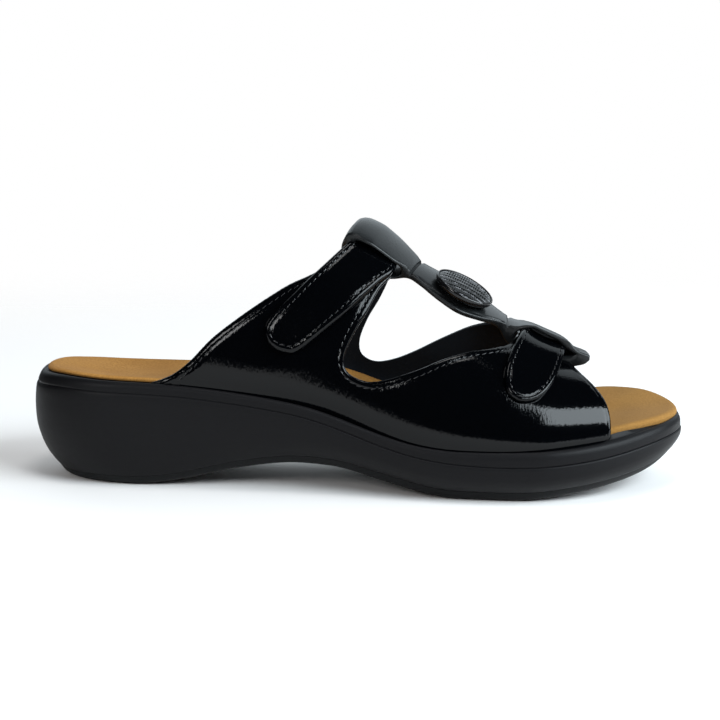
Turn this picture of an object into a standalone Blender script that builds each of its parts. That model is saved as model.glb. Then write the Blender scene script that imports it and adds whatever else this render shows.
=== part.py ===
"""Open mule for the right foot: a wedge sole unit, a footbed, a patent upper with
side windows, two fastening straps, a centre bridge with a loop at each end, and a
round button. Sizes are in millimetres; MM turns them into Blender's metres.
X runs from heel to toe, Y from the outer (lateral) to the inner (medial) side, Z up.
"""

import math

import bmesh
import bpy
from mathutils import Vector

MM = 0.001

# Driving sizes
SOLE_LENGTH = 262.4
HEEL_END = -SOLE_LENGTH / 2
TOE_END = SOLE_LENGTH / 2
GAP = 0.3
UPPER_WALL = 2.0
STRAP_THICKNESS = 2.2
INSOLE_THICKNESS = 2.4
OUTSOLE_THICKNESS = 3.7
UPPER_INSET = 2.0
INSOLE_INSET = 4.6
BUTTON_DIAMETER = 25.0
BUTTON_HEIGHT = 3.4

# Half widths of the sole at its fullest line: x, lateral, medial
WIDTH_ROWS = [
    (-131.2, 32.5, 32.0),
    (-95.0, 32.5, 32.0),
    (-60.0, 33.5, 31.5),
    (-25.0, 35.5, 31.0),
    (5.0, 39.0, 34.5),
    (35.0, 44.5, 42.0),
    (60.0, 46.4, 46.4),
    (80.0, 46.2, 45.6),
    (131.2, 46.0, 44.0),
]
HEEL_ROUND_FROM = -92.0
HEEL_ROUND_POWER = 2.2
TOE_ROUND_FROM = 72.0
TOE_ROUND_POWER = {"lateral": 1.75, "medial": 2.3}
TOE_SWING = 4.0

# Height of the sole's rim: x, lateral height, how much higher the medial side is
RIM_ROWS = [
    (-131.2, 40.0, 0.0),
    (-100.0, 42.1, -2.0),
    (-70.0, 42.1, -2.0),
    (-54.0, 40.3, -0.5),
    (-40.0, 38.5, 1.0),
    (-20.0, 35.2, 2.5),
    (-5.0, 30.8, 2.8),
    (10.0, 25.4, 2.6),
    (27.0, 21.2, 2.0),
    (42.0, 19.9, 1.5),
    (65.0, 20.2, 1.5),
    (80.0, 21.5, 2.0),
    (101.0, 24.2, 2.5),
    (117.0, 26.0, 1.8),
    (131.2, 27.3, 0.0),
]
# Underside of the sole, flat at heel and ball: x, height
GROUND_ROWS = [
    (-131.2, 0.0),
    (-88.0, 0.0),
    (-78.0, 0.7),
    (-66.0, 2.8),
    (-45.0, 7.8),
    (-22.0, 10.6),
    (-8.0, 9.8),
    (12.0, 5.2),
    (30.0, 1.2),
    (41.0, 0.0),
    (66.0, 0.0),
    (82.0, 1.8),
    (102.0, 5.0),
    (114.0, 8.0),
    (122.0, 11.0),
    (131.2, 15.6),
]
# Depth of the footbed's hollow below its edges: x, depth
DISH_ROWS = [
    (-121.0, 0.0), (-92.0, 2.6), (-55.0, 2.4), (-15.0, 1.2),
    (30.0, 0.8), (75.0, 1.0), (116.0, 0.0),
]
# Drop of the groove below the rim: x, drop
GROOVE_ROWS = [(-131.2, 3.9), (20.0, 3.9), (70.0, 5.4), (131.2, 5.0)]

# Rings of the midsole's side below the groove: share of the wall, insets at heel, toe and side
WALL_RINGS = [
    (0.04, 0.7, 0.1, 0.2),
    (0.27, 0.0, 0.0, 0.0),
    (0.46, 0.4, 0.2, 0.3),
    (0.66, 2.1, 0.9, 1.4),
    (0.84, 5.0, 2.2, 3.2),
    (1.00, 9.3, 3.9, 5.6),
]
# Rings of the rim bead: share of the groove's drop, insets at heel, toe and side
BEAD_RINGS = [
    (0.06, 3.6, 1.9, 1.7),
    (0.26, 2.2, 0.7, 0.6),
    (0.60, 1.3, 0.3, 0.3),
    (0.90, 1.2, 0.6, 0.6),
    (1.00, 1.7, 1.1, 1.1),
]

# Crown of the last over which the upper lies: x, ridge y, ridge height, fullness of each side
CROWN_ROWS = [
    (-80.0, 6.0, 141.0, 2.2, 2.3),
    (-40.0, 7.0, 120.0, 2.1, 2.3),
    (1.5, 7.0, 96.2, 2.0, 2.3),
    (22.0, 7.0, 86.2, 1.95, 2.3),
    (42.0, 7.0, 74.6, 1.95, 2.3),
    (60.0, 6.5, 63.4, 2.1, 2.4),
    (70.0, 6.0, 56.9, 2.3, 2.5),
    (80.0, 5.5, 53.0, 2.5, 2.6),
    (87.0, 5.0, 50.8, 2.7, 2.7),
    (95.0, 5.0, 48.8, 2.8, 2.8),
    (110.0, 5.0, 45.0, 2.8, 2.8),
]

# Edges of the upper, seen from the side: x, height
LATERAL_COLLAR = [
    (-64.0, 52.3), (-56.0, 60.9), (-46.5, 68.6), (-37.0, 75.4),
    (-27.0, 81.8), (-14.0, 87.6), (-3.2, 92.2),
]
LATERAL_WINDOW_REAR = [
    (14.8, 85.4), (9.8, 80.6), (5.1, 72.1), (1.0, 65.4),
    (-2.0, 59.3), (-3.6, 53.7), (-2.3, 49.8), (1.5, 47.2),
]
LATERAL_WINDOW_FRONT = [
    (7.4, 46.0), (15.8, 47.8), (26.7, 51.6), (36.2, 55.4),
    (45.4, 57.6), (55.0, 58.4), (61.6, 59.2),
]
LATERAL_FRONT = [(88.5, 48.8), (95.3, 43.9), (99.8, 38.4), (101.7, 32.0)]
MEDIAL_COLLAR = [
    (-56.0, 52.0), (-47.0, 60.0), (-36.0, 67.0), (-25.0, 73.0),
    (-14.0, 79.5), (-4.0, 86.5),
]
MEDIAL_WINDOW_REAR = [
    (12.0, 80.5), (7.8, 70.1), (2.1, 59.7), (-1.1, 51.1),
    (-0.8, 45.2), (2.6, 41.9),
]
MEDIAL_WINDOW_FRONT = [
    (8.0, 41.0), (17.3, 43.4), (29.7, 49.3), (40.5, 54.7),
    (52.0, 59.0), (60.5, 60.2),
]
MEDIAL_FRONT = [(84.0, 47.5), (88.0, 41.0), (90.5, 33.0)]
# Where those edges meet the sole and cross the ridge: x
COLLAR_FOOT = {"lateral": -69.3, "medial": -62.0}
FRONT_FOOT = {"lateral": 102.0, "medial": 91.5}
RIDGE_COLLAR = 0.9
RIDGE_WINDOW_REAR = 15.8
RIDGE_WINDOW_FRONT = 65.5
RIDGE_FRONT = 81.2

# Straps: rear edge, rounded end and front edge on the lateral side: x, height
INSTEP_STRAP_LATERAL = [
    (-1.4, 94.8), (-4.0, 92.6), (-12.0, 88.6), (-22.4, 79.5), (-31.5, 70.6), (-34.2, 65.8),
    (-32.6, 60.6), (-27.0, 57.6), (-20.0, 58.8), (-4.5, 70.3), (8.3, 80.6), (14.6, 85.0),
]
FOREFOOT_STRAP_LATERAL = [
    (64.6, 59.8), (61.6, 56.4), (59.6, 51.0), (60.5, 46.6), (63.4, 43.0), (68.4, 41.8),
    (73.6, 43.4), (77.6, 47.4), (79.4, 50.4),
]
# The same straps on the medial side: x, degrees around the upper from the lateral foot line
INSTEP_STRAP_MEDIAL = [
    (15.4, 95.0), (13.6, 112.0), (10.6, 123.0), (4.6, 128.0),
    (-0.5, 123.0), (-0.2, 110.0), (0.8, 96.0),
]
FOREFOOT_STRAP_MEDIAL = [
    (80.4, 95.0), (79.0, 112.0), (75.6, 122.0), (70.0, 123.0),
    (66.4, 114.0), (66.2, 96.0),
]
# How far each strap stands off the upper where it goes through its loop
INSTEP_STRAP_LIFT = 0.3
FOREFOOT_STRAP_LIFT = 0.1

# Bridge: half width along its length: x, half width
BRIDGE_WIDTH_ROWS = [
    (-8.0, 7.6), (2.0, 9.2), (12.0, 9.0), (20.0, 7.2), (25.0, 9.0), (32.0, 12.0),
    (40.0, 13.6), (49.0, 11.6), (59.0, 6.6), (64.0, 7.4), (71.0, 8.8), (80.0, 9.0),
    (88.0, 8.6), (96.0, 7.0),
]
BRIDGE_CENTRE_Y = -1.5
BRIDGE_EDGE_LIFT = 2.2
BRIDGE_SKEW = 1.8
# Side profile of the bridge and of the two loops' openings: x, height over the upper
BRIDGE_PROFILE = [
    (40.0, 2.4), (24.0, 2.4), (19.5, 3.7), (13.0, 4.9), (6.0, 5.5), (1.0, 5.1),
    (-2.6, 3.8), (-4.2, 1.2), (-3.8, -2.4), (-1.6, -4.4), (3.0, -4.7), (12.0, -4.6),
    (18.0, -3.2), (22.0, -0.9), (27.0, 0.0), (40.0, 0.0), (52.0, 0.0), (57.0, -0.9),
    (61.0, -3.6), (66.5, -4.9), (76.0, -5.0), (85.0, -5.0), (90.5, -4.2), (93.4, -2.2),
    (94.2, 0.4), (92.4, 2.2), (88.0, 3.0), (82.0, 4.0), (75.0, 4.8), (69.0, 5.0),
    (64.0, 4.0), (60.2, 2.6), (56.0, 2.4),
]
INSTEP_LOOP = [
    (-2.6, 1.2), (-1.4, 3.0), (2.0, 3.9), (7.0, 4.0), (13.0, 3.5), (17.4, 2.7),
    (19.2, 0.6), (17.4, -1.9), (12.0, -2.6), (5.0, -2.7), (-0.6, -2.5), (-2.4, -1.2),
]
FOREFOOT_LOOP = [
    (61.4, 0.6), (62.6, 2.4), (67.0, 3.5), (72.0, 3.5), (79.0, 3.2), (86.0, 1.9),
    (91.0, 0.4), (90.2, -1.8), (86.0, -2.8), (78.0, -2.8), (68.0, -2.9), (63.4, -2.5),
    (61.6, -1.2),
]
BUTTON_X = 40.4
BUTTON_Y = -4.0

STATIONS = 44
ACROSS = 4
SAMPLE_STEP = 3.5
GRID_X = 7.0
GRID_DEGREES = 7.5
FLAT_PER_DEGREE = 0.85

COLOURS = {
    "sole_foam": ((0.020, 0.021, 0.022), 0.55),
    "outsole_rubber": ((0.012, 0.012, 0.013), 0.6),
    "footbed": ((0.46, 0.25, 0.09), 0.85),
    "patent": ((0.004, 0.004, 0.005), 0.08),
    "bridge_leather": ((0.030, 0.033, 0.034), 0.42),
    "button_plastic": ((0.006, 0.006, 0.006), 0.15),
    "button_texture": ((0.015, 0.015, 0.015), 0.45),
}


# Numbers along the shoe


def along(rows, x, column=1):
    """Value of a table's column at x, on a smooth line that never overshoots its rows."""
    if x <= rows[0][0]:
        return rows[0][column]
    if x >= rows[-1][0]:
        return rows[-1][column]
    k = next(i for i in range(len(rows) - 1) if x <= rows[i + 1][0])

    def slope(i):
        return (rows[i + 1][column] - rows[i][column]) / (rows[i + 1][0] - rows[i][0])

    def tangent(i):
        if i == 0:
            return slope(0)
        if i == len(rows) - 1:
            return slope(i - 1)
        before, after = slope(i - 1), slope(i)
        return 0.0 if before * after <= 0 else 2 * before * after / (before + after)

    span = rows[k + 1][0] - rows[k][0]
    t = (x - rows[k][0]) / span
    start, end = rows[k][column], rows[k + 1][column]
    return (
        (1 + 2 * t) * (1 - t) ** 2 * start
        + t * (1 - t) ** 2 * span * tangent(k)
        + t * t * (3 - 2 * t) * end
        + t * t * (t - 1) * span * tangent(k + 1)
    )


def end_round(x, side):
    """Share of the half width that is left where the outline rounds off at heel and toe."""
    if x < HEEL_ROUND_FROM:
        share = min(1.0, (HEEL_ROUND_FROM - x) / (HEEL_ROUND_FROM - HEEL_END))
        return (1 - share**HEEL_ROUND_POWER) ** (1 / HEEL_ROUND_POWER)
    if x > TOE_ROUND_FROM:
        power = TOE_ROUND_POWER[side]
        share = min(1.0, (x - TOE_ROUND_FROM) / (TOE_END - TOE_ROUND_FROM))
        return (1 - share**power) ** (1 / power)
    return 1.0


def edge_y(x, side, inset=0.0):
    """Y of the sole's fullest line, moved inwards by inset."""
    swing = TOE_SWING * max(0.0, (x - TOE_ROUND_FROM) / (TOE_END - TOE_ROUND_FROM)) ** 2
    if side == "lateral":
        return swing - (along(WIDTH_ROWS, x, 1) - inset) * end_round(x, side)
    return swing + (along(WIDTH_ROWS, x, 2) - inset) * end_round(x, side)


def rim_z(x, side):
    """Height of the rim on one side."""
    rise = along(RIM_ROWS, x, 2) if side == "medial" else 0.0
    return along(RIM_ROWS, x, 1) + rise


def spline_value(t, before, start, end, after):
    """Value between start and end on a curve that also heeds the values before and after them."""
    slope = end - before
    bend = 2 * before - 5 * start + 4 * end - after
    twist = 3 * start - before - 3 * end + after
    return start + 0.5 * t * (slope + t * (bend + t * twist))


def smooth_path(points, closed=False):
    """Points every few millimetres on a smooth curve through the given ones."""
    count = len(points)
    spans = count if closed else count - 1
    path = []
    for i in range(spans):
        if closed:
            a, b, c, d = (points[(i + k) % count] for k in (-1, 0, 1, 2))
        else:
            b, c = points[i], points[i + 1]
            a = points[i - 1] if i else b
            d = points[i + 2] if i + 2 < count else c
        steps = max(1, round(math.dist(b, c) / SAMPLE_STEP))
        for step in range(steps):
            t = step / steps
            path.append(tuple(spline_value(t, *values) for values in zip(a, b, c, d)))
    return path if closed else path + [tuple(points[-1])]


# The crown over which upper, straps and bridge lie


def crown_point(x, degrees):
    """Point of the upper's outer face: 0 degrees at the lateral foot line, 90 on the ridge, 180 medial."""
    side = "lateral" if degrees <= 90 else "medial"
    turn = math.radians(degrees if side == "lateral" else 180 - degrees)
    ridge_y, ridge_z = along(CROWN_ROWS, x, 1), along(CROWN_ROWS, x, 2)
    fullness = along(CROWN_ROWS, x, 3 if side == "lateral" else 4)
    foot_y, foot_z = edge_y(x, side, UPPER_INSET), rim_z(x, side) + GAP
    spread = max(0.0, math.cos(turn)) ** (2 / fullness)
    return Vector((x, ridge_y + (foot_y - ridge_y) * spread, foot_z + (ridge_z - foot_z) * math.sin(turn)))


def crown_normal(x, degrees):
    """Outward direction of the upper's outer face."""
    low, high = max(0.0, degrees - 1.5), min(180.0, degrees + 1.5)
    forward = crown_point(x + 0.5, degrees) - crown_point(x - 0.5, degrees)
    around = crown_point(x, high) - crown_point(x, low)
    return forward.cross(around).normalized()


def crown_offset(x, degrees, height):
    """Point at a height over the upper's outer face."""
    return crown_point(x, degrees) + height * crown_normal(x, degrees)


def degrees_at_height(x, z, side):
    """Where the upper's face reaches a height on one side."""
    foot = rim_z(x, side) + GAP
    share = (z - foot) / (along(CROWN_ROWS, x, 2) - foot)
    turn = math.degrees(math.asin(max(0.0, min(1.0, share))))
    return turn if side == "lateral" else 180 - turn


def degrees_at_y(x, y):
    """Where the upper's face crosses a given y near its ridge."""
    ridge_y = along(CROWN_ROWS, x, 1)
    side = "lateral" if y <= ridge_y else "medial"
    fullness = along(CROWN_ROWS, x, 3 if side == "lateral" else 4)
    share = (y - ridge_y) / (edge_y(x, side, UPPER_INSET) - ridge_y)
    turn = math.degrees(math.acos(min(1.0, share ** (fullness / 2))))
    return turn if side == "lateral" else 180 - turn


def flat(rows, side):
    """Side-view rows of x and height as points of the flat pattern."""
    return [(x, degrees_at_height(x, z, side) * FLAT_PER_DEGREE) for x, z in rows]


def turned(rows):
    """Rows of x and degrees as points of the flat pattern."""
    return [(x, degrees * FLAT_PER_DEGREE) for x, degrees in rows]


# Meshes


def new_object(name, bm, colour):
    """Object of the collection with its mesh in metres and its own material."""
    bmesh.ops.recalc_face_normals(bm, faces=bm.faces[:])
    if bm.calc_volume(signed=True) < 0:
        bmesh.ops.reverse_faces(bm, faces=bm.faces[:])
    bmesh.ops.scale(bm, vec=(MM, MM, MM), verts=bm.verts[:])
    mesh = bpy.data.meshes.new(name)
    bm.to_mesh(mesh)
    bm.free()
    mesh.shade_smooth()
    mesh.set_sharp_from_angle(angle=math.radians(40))
    rgb, roughness = COLOURS[colour]
    material = bpy.data.materials.new(name)
    material.use_nodes = True
    shader = material.node_tree.nodes["Principled BSDF"]
    shader.inputs["Base Color"].default_value = (*rgb, 1)
    shader.inputs["Roughness"].default_value = roughness
    mesh.materials.append(material)
    obj = bpy.data.objects.new(name, mesh)
    PARTS.objects.link(obj)
    obj.parent = SHOE
    return obj


def station_x(i, heel_in, toe_in):
    """X of a ring's station, close together at the rounded ends."""
    share = (1 - math.cos(math.pi * i / STATIONS)) / 2
    return HEEL_END + heel_in + share * (SOLE_LENGTH - heel_in - toe_in)


def ring(height, heel_in, toe_in, side_in):
    """Closed ring of points round the sole: heel, lateral side, toe, medial side."""
    stretch = SOLE_LENGTH / (SOLE_LENGTH - heel_in - toe_in)
    points = []
    for i in list(range(STATIONS + 1)) + list(range(STATIONS - 1, 0, -1)):
        side = "medial" if len(points) > STATIONS else "lateral"
        x = station_x(i, heel_in, toe_in)
        full_x = HEEL_END + (x - HEEL_END - heel_in) * stretch
        points.append(Vector((x, edge_y(full_x, side, side_in), height(x, side))))
    return points


def lofted(name, rings, colour, hollow_top, hollow_bottom):
    """Solid through rings from top to bottom, closed by caps that are hollowed by a function of x."""
    bm = bmesh.new()
    loops = [[bm.verts.new(p) for p in points] for points in rings]
    count = len(loops[0])
    for upper, lower in zip(loops, loops[1:]):
        for i in range(count):
            bm.faces.new((upper[i], upper[(i + 1) % count], lower[(i + 1) % count], lower[i]))
    for loop, hollow in ((loops[0], hollow_top), (loops[-1], hollow_bottom)):
        rows = [[loop[0]]]
        for i in range(1, STATIONS):
            start, end = loop[i], loop[count - i]
            row = [start]
            for k in range(1, ACROSS):
                share = k / ACROSS
                point = start.co.lerp(end.co, share)
                point.z -= hollow(point.x) * (1 - (2 * share - 1) ** 2)
                row.append(bm.verts.new(point))
            rows.append(row + [end])
        rows.append([loop[STATIONS]])
        for near, far in zip(rows, rows[1:]):
            for k in range(ACROSS):
                corners = [near[min(k, len(near) - 1)], near[min(k + 1, len(near) - 1)]]
                corners += [far[min(k + 1, len(far) - 1)], far[min(k, len(far) - 1)]]
                bm.faces.new(list(dict.fromkeys(corners)))
    return new_object(name, bm, colour)


def grid_cut(bm, axis, values):
    """Cuts a flat pattern along lines across one axis, so that it can follow a curved form."""
    normal = Vector((0, 0, 0))
    normal[axis] = 1
    for value in values:
        whole = bm.verts[:] + bm.edges[:] + bm.faces[:]
        bmesh.ops.bisect_plane(bm, geom=whole, dist=1e-4, plane_co=normal * value, plane_no=normal)


def multiples(step, low, high):
    """Multiples of a step strictly between two values."""
    return [step * k for k in range(math.ceil(low / step), math.floor(high / step) + 1)]


def panel(name, patterns, low, high, colour):
    """Wall of one thickness on the crown, cut to flat patterns of x and degrees that meet on the ridge."""
    bm = bmesh.new()
    for pattern in patterns:
        bm.faces.new([bm.verts.new((x, turn, 0)) for x, turn in pattern])
    bmesh.ops.remove_doubles(bm, verts=bm.verts[:], dist=1e-3)
    grid_cut(bm, 0, multiples(GRID_X, -140, 140))
    grid_cut(bm, 1, [d * FLAT_PER_DEGREE for d in multiples(GRID_DEGREES, 1, 179)])
    raised = bmesh.ops.extrude_face_region(bm, geom=bm.faces[:])["geom"]
    bmesh.ops.translate(bm, vec=(0, 0, 1), verts=[v for v in raised if isinstance(v, bmesh.types.BMVert)])
    for vert in bm.verts:
        x, degrees = vert.co.x, vert.co.y / FLAT_PER_DEGREE
        height = high(degrees) if vert.co.z > 0.5 else low(degrees)
        vert.co = crown_offset(x, min(180.0, max(0.0, degrees)), height)
    return new_object(name, bm, colour)


# The pieces


def ground_z(x, side=None):
    return along(GROUND_ROWS, x)


def midsole_base_z(x, side=None):
    return ground_z(x) + OUTSOLE_THICKNESS


def groove_z(x, side):
    return rim_z(x, side) - along(GROOVE_ROWS, x)


def make_outsole():
    """Thin tread layer under the midsole, flat at heel and ball."""

    def top(x, side):
        return midsole_base_z(x) - GAP

    def edge(x, side):
        return ground_z(x) + 1.2

    rings = [ring(top, 9.6, 4.2, 6.0), ring(edge, 11.4, 5.6, 7.2), ring(ground_z, 14.0, 8.0, 9.6)]
    return lofted("outsole", rings, "outsole_rubber", lambda x: 0.0, lambda x: 0.0)


def make_midsole():
    """Foam wedge with a bead round its rim, a groove under the bead and a full rounded side."""
    rings = [ring(rim_z, 5.4, 5.0, 5.4)]
    for share, *insets in BEAD_RINGS:
        rings.append(ring(lambda x, side, s=share: rim_z(x, side) - s * along(GROOVE_ROWS, x), *insets))
    for share, *insets in WALL_RINGS:

        def height(x, side, s=share):
            return groove_z(x, side) + s * (midsole_base_z(x) - groove_z(x, side))

        rings.append(ring(height, *insets))
    return lofted("midsole", rings, "sole_foam", lambda x: along(DISH_ROWS, x), lambda x: 0.0)


def make_insole():
    """Footbed that lies on the midsole inside the upper, with a rounded edge and a hollowed top."""
    edge_steps = [(INSOLE_THICKNESS, 1.5), (INSOLE_THICKNESS - 0.5, 0.3), (1.0, 0.0), (0.0, 0.2)]
    toe_inset = INSOLE_INSET - 1.4
    rings = []
    for rise, inset in edge_steps:

        def height(x, side, r=rise):
            return rim_z(x, side) + GAP + r

        rings.append(ring(height, INSOLE_INSET + inset, toe_inset + inset, INSOLE_INSET + inset))
    return lofted("insole", rings, "footbed", lambda x: along(DISH_ROWS, x), lambda x: along(DISH_ROWS, x))


def upper_pattern(side, collar, window, front):
    """Half of the upper's flat pattern: foot line, collar, ridge, window, ridge and toe edge."""
    foot = 0.0 if side == "lateral" else 180.0
    ridge = 90 * FLAT_PER_DEGREE
    edge = foot * FLAT_PER_DEGREE
    collar_path = smooth_path([(COLLAR_FOOT[side], edge), *flat(collar, side), (RIDGE_COLLAR, ridge)])
    window_ends = (RIDGE_WINDOW_REAR, ridge), (RIDGE_WINDOW_FRONT, ridge)
    window_path = smooth_path([window_ends[0], *flat(window, side), window_ends[1]])
    front_path = smooth_path([(RIDGE_FRONT, ridge), *flat(front, side), (FRONT_FOOT[side], edge)])
    return collar_path + window_path + front_path


def make_upper():
    """Patent wall in one piece: both quarters, joined over the instep and over the forefoot."""
    patterns = [
        upper_pattern("lateral", LATERAL_COLLAR, LATERAL_WINDOW_REAR + LATERAL_WINDOW_FRONT, LATERAL_FRONT),
        upper_pattern("medial", MEDIAL_COLLAR, MEDIAL_WINDOW_REAR + MEDIAL_WINDOW_FRONT, MEDIAL_FRONT),
    ]
    return panel("upper", patterns, lambda d: -UPPER_WALL, lambda d: 0.0, "patent")


def make_strap(name, lateral, medial, lift):
    """Fastening strap over the upper, from its rounded end through a loop to its sewn end."""
    outline = smooth_path(flat(lateral, "lateral") + turned(medial), closed=True)

    def low(degrees):
        reach = degrees - 50 if degrees <= 90 else 125 - degrees
        share = max(0.0, min(1.0, reach / 25))
        return GAP + lift * share * share * (3 - 2 * share)

    return panel(name, [outline], low, lambda d: low(d) + STRAP_THICKNESS, "patent")


def bridge_place(x, across, height):
    """Point of the bridge: across runs from -1 at its lateral edge to 1 at its medial edge."""
    loop = max(0.0, min(1.0, abs(x - 41) / 18 - 1))
    x -= BRIDGE_SKEW * across * across * loop
    y = BRIDGE_CENTRE_Y + across * along(BRIDGE_WIDTH_ROWS, x)
    if height > 0:
        height += BRIDGE_EDGE_LIFT * loop * across * across * min(1.0, height / 4)
    return crown_offset(x, degrees_at_y(x, y), height)


def make_bridge():
    """Leather bridge along the instep, with a loop for a strap at each end."""
    curve = bpy.data.curves.new("bridge_profile", "CURVE")
    curve.dimensions = "2D"
    curve.fill_mode = "BOTH"
    curve.extrude = 1.0
    for points in (BRIDGE_PROFILE, INSTEP_LOOP, FOREFOOT_LOOP):
        path = smooth_path(points, closed=True)
        spline = curve.splines.new("POLY")
        spline.points.add(len(path) - 1)
        spline.use_cyclic_u = True
        for point, (x, height) in zip(spline.points, path):
            point.co = (x, height, 0, 1)
    guide = bpy.data.objects.new("bridge_profile", curve)
    bpy.context.scene.collection.objects.link(guide)
    bpy.context.view_layer.update()
    graph = bpy.context.evaluated_depsgraph_get()
    mesh = bpy.data.meshes.new_from_object(guide.evaluated_get(graph))
    bpy.data.objects.remove(guide)
    bm = bmesh.new()
    bm.from_mesh(mesh)
    bmesh.ops.remove_doubles(bm, verts=bm.verts[:], dist=1e-4)
    bmesh.ops.dissolve_limit(bm, angle_limit=0.01, verts=bm.verts[:], edges=bm.edges[:])
    grid_cut(bm, 0, multiples(GRID_X, -10, 100))
    grid_cut(bm, 2, [-0.6, -0.2, 0.2, 0.6])
    for vert in bm.verts:
        vert.co = bridge_place(vert.co.x, vert.co.z, vert.co.y)
    return new_object("bridge", bm, "bridge_leather")


def make_turned(name, profile, colour, foot):
    """Turned solid on the bridge's face at the button's place, from rows of radius and height."""
    bm = bmesh.new()
    verts = [bm.verts.new((radius, 0, height)) for radius, height in profile]
    edges = [bm.edges.new(pair) for pair in zip(verts, verts[1:])]
    bmesh.ops.spin(
        bm, geom=verts + edges, cent=(0, 0, 0), axis=(0, 0, 1), angle=math.tau, steps=28, use_merge=True
    )
    bmesh.ops.remove_doubles(bm, verts=bm.verts[:], dist=1e-3)
    degrees = degrees_at_y(BUTTON_X, BUTTON_Y)
    turn = crown_normal(BUTTON_X, degrees).to_track_quat("Z", "Y")
    bmesh.ops.rotate(bm, cent=(0, 0, 0), matrix=turn.to_matrix(), verts=bm.verts[:])
    bmesh.ops.translate(bm, vec=crown_offset(BUTTON_X, degrees, foot), verts=bm.verts[:])
    return new_object(name, bm, colour)


def make_button():
    """Round button on the bridge: a glossy cup and the ribbed disc set into it."""
    radius = BUTTON_DIAMETER / 2
    rim = 0.7
    floor = BUTTON_HEIGHT - 1.3
    foot = 2.4 + GAP
    cup = [
        (0, floor),
        (radius - rim, floor),
        (radius - rim, BUTTON_HEIGHT - 0.2),
        (radius - 0.45, BUTTON_HEIGHT),
        (radius - 0.1, BUTTON_HEIGHT - 0.4),
        (radius, BUTTON_HEIGHT - 1.4),
        (radius - 0.8, 0.8),
        (radius - 2.2, 0),
        (0, 0),
    ]
    disc_radius = radius - rim - GAP
    disc = [
        (0, BUTTON_HEIGHT + 0.6),
        (disc_radius * 0.6, BUTTON_HEIGHT + 0.35),
        (disc_radius - 0.4, BUTTON_HEIGHT - 0.2),
        (disc_radius, BUTTON_HEIGHT - 0.5),
        (disc_radius, floor + GAP),
        (0, floor + GAP),
    ]
    make_turned("button_cup", cup, "button_plastic", foot)
    make_turned("button_disc", disc, "button_texture", foot)


for old in list(bpy.data.objects):
    bpy.data.objects.remove(old, do_unlink=True)
PARTS = bpy.data.collections.new("open_mule")
bpy.context.scene.collection.children.link(PARTS)
SHOE = bpy.data.objects.new("open_mule", None)
PARTS.objects.link(SHOE)

make_outsole()
make_midsole()
make_insole()
make_upper()
make_strap("instep_strap", INSTEP_STRAP_LATERAL, INSTEP_STRAP_MEDIAL, INSTEP_STRAP_LIFT)
make_strap("forefoot_strap", FOREFOOT_STRAP_LATERAL, FOREFOOT_STRAP_MEDIAL, FOREFOOT_STRAP_LIFT)
make_bridge()
make_button()
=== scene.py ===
# %% [markdown]
# # Dressing an open mule
# The solids of this shoe are cut and packed already. This lesson gives them the surfaces of the
# real thing: black patent leather, a moulded foam sole, a tan footbed, a soft leather bridge and a small
# ribbed button. Every new piece follows the same sizes as the solid that it stands for, so nothing has to
# be fitted by eye afterwards. We begin by loading the solids and listing their names.

# %% Load the solids
import math

import bmesh
import bpy
import numpy as np
from mathutils import Matrix, Vector


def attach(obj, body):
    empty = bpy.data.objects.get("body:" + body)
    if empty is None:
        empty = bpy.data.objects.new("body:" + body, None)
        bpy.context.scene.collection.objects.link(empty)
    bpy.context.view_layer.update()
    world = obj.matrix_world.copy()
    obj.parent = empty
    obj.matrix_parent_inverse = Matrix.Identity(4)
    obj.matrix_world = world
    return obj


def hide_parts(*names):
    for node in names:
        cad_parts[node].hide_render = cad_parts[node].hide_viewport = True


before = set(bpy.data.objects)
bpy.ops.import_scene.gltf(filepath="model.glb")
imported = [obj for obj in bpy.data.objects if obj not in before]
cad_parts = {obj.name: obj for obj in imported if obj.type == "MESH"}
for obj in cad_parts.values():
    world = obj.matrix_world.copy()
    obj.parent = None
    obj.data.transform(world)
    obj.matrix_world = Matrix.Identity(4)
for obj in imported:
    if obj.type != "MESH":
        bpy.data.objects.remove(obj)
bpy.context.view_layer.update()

MM = 0.001
print("solids:", ", ".join(sorted(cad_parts)))

# %% [markdown]
# ## Lines along the shoe
# A last maker writes a shoe down as short tables: how wide, how high, at which place along the foot. A
# curve through such a table must not overshoot, or the sole gets bumps, so we use a cubic whose slopes
# never pass a row. Gloss shows every change of curvature, so patent pieces use the eased line, which
# averages a few neighbours. A fine polyline would be simpler but would show as facets in the gloss.

# %% Smooth lines through short tables
EASE_REACH = 6.0
EASE_STEPS = np.linspace(-EASE_REACH, EASE_REACH, 7)


def along(rows, x, column=1):
    """A table's column at x, on a smooth line that never overshoots its rows."""
    knots = np.array([row[0] for row in rows], float)
    values = np.array([row[column] for row in rows], float)
    slopes = np.diff(values) / np.diff(knots)
    same_way = slopes[:-1] * slopes[1:] > 0
    total = np.where(same_way, slopes[:-1] + slopes[1:], 1.0)
    inner = np.where(same_way, 2 * slopes[:-1] * slopes[1:] / total, 0.0)
    tangents = np.concatenate([slopes[:1], inner, slopes[-1:]])
    x = np.clip(x, knots[0], knots[-1])
    k = np.clip(np.searchsorted(knots, x, side="right") - 1, 0, len(slopes) - 1)
    span = knots[k + 1] - knots[k]
    t = (x - knots[k]) / span
    rise = (1 + 2 * t) * (1 - t) ** 2 * values[k] + t * t * (3 - 2 * t) * values[k + 1]
    return rise + span * t * (1 - t) * ((1 - t) * tangents[k] - t * tangents[k + 1])


def eased(rows, x, column=1):
    """The same line with its changes of curvature eased."""
    return sum(along(rows, x + step, column) for step in EASE_STEPS) / len(EASE_STEPS)


print("eased line at a kink:", round(float(eased([(0, 0), (10, 0), (20, 8)], 10.0)), 3))

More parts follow.
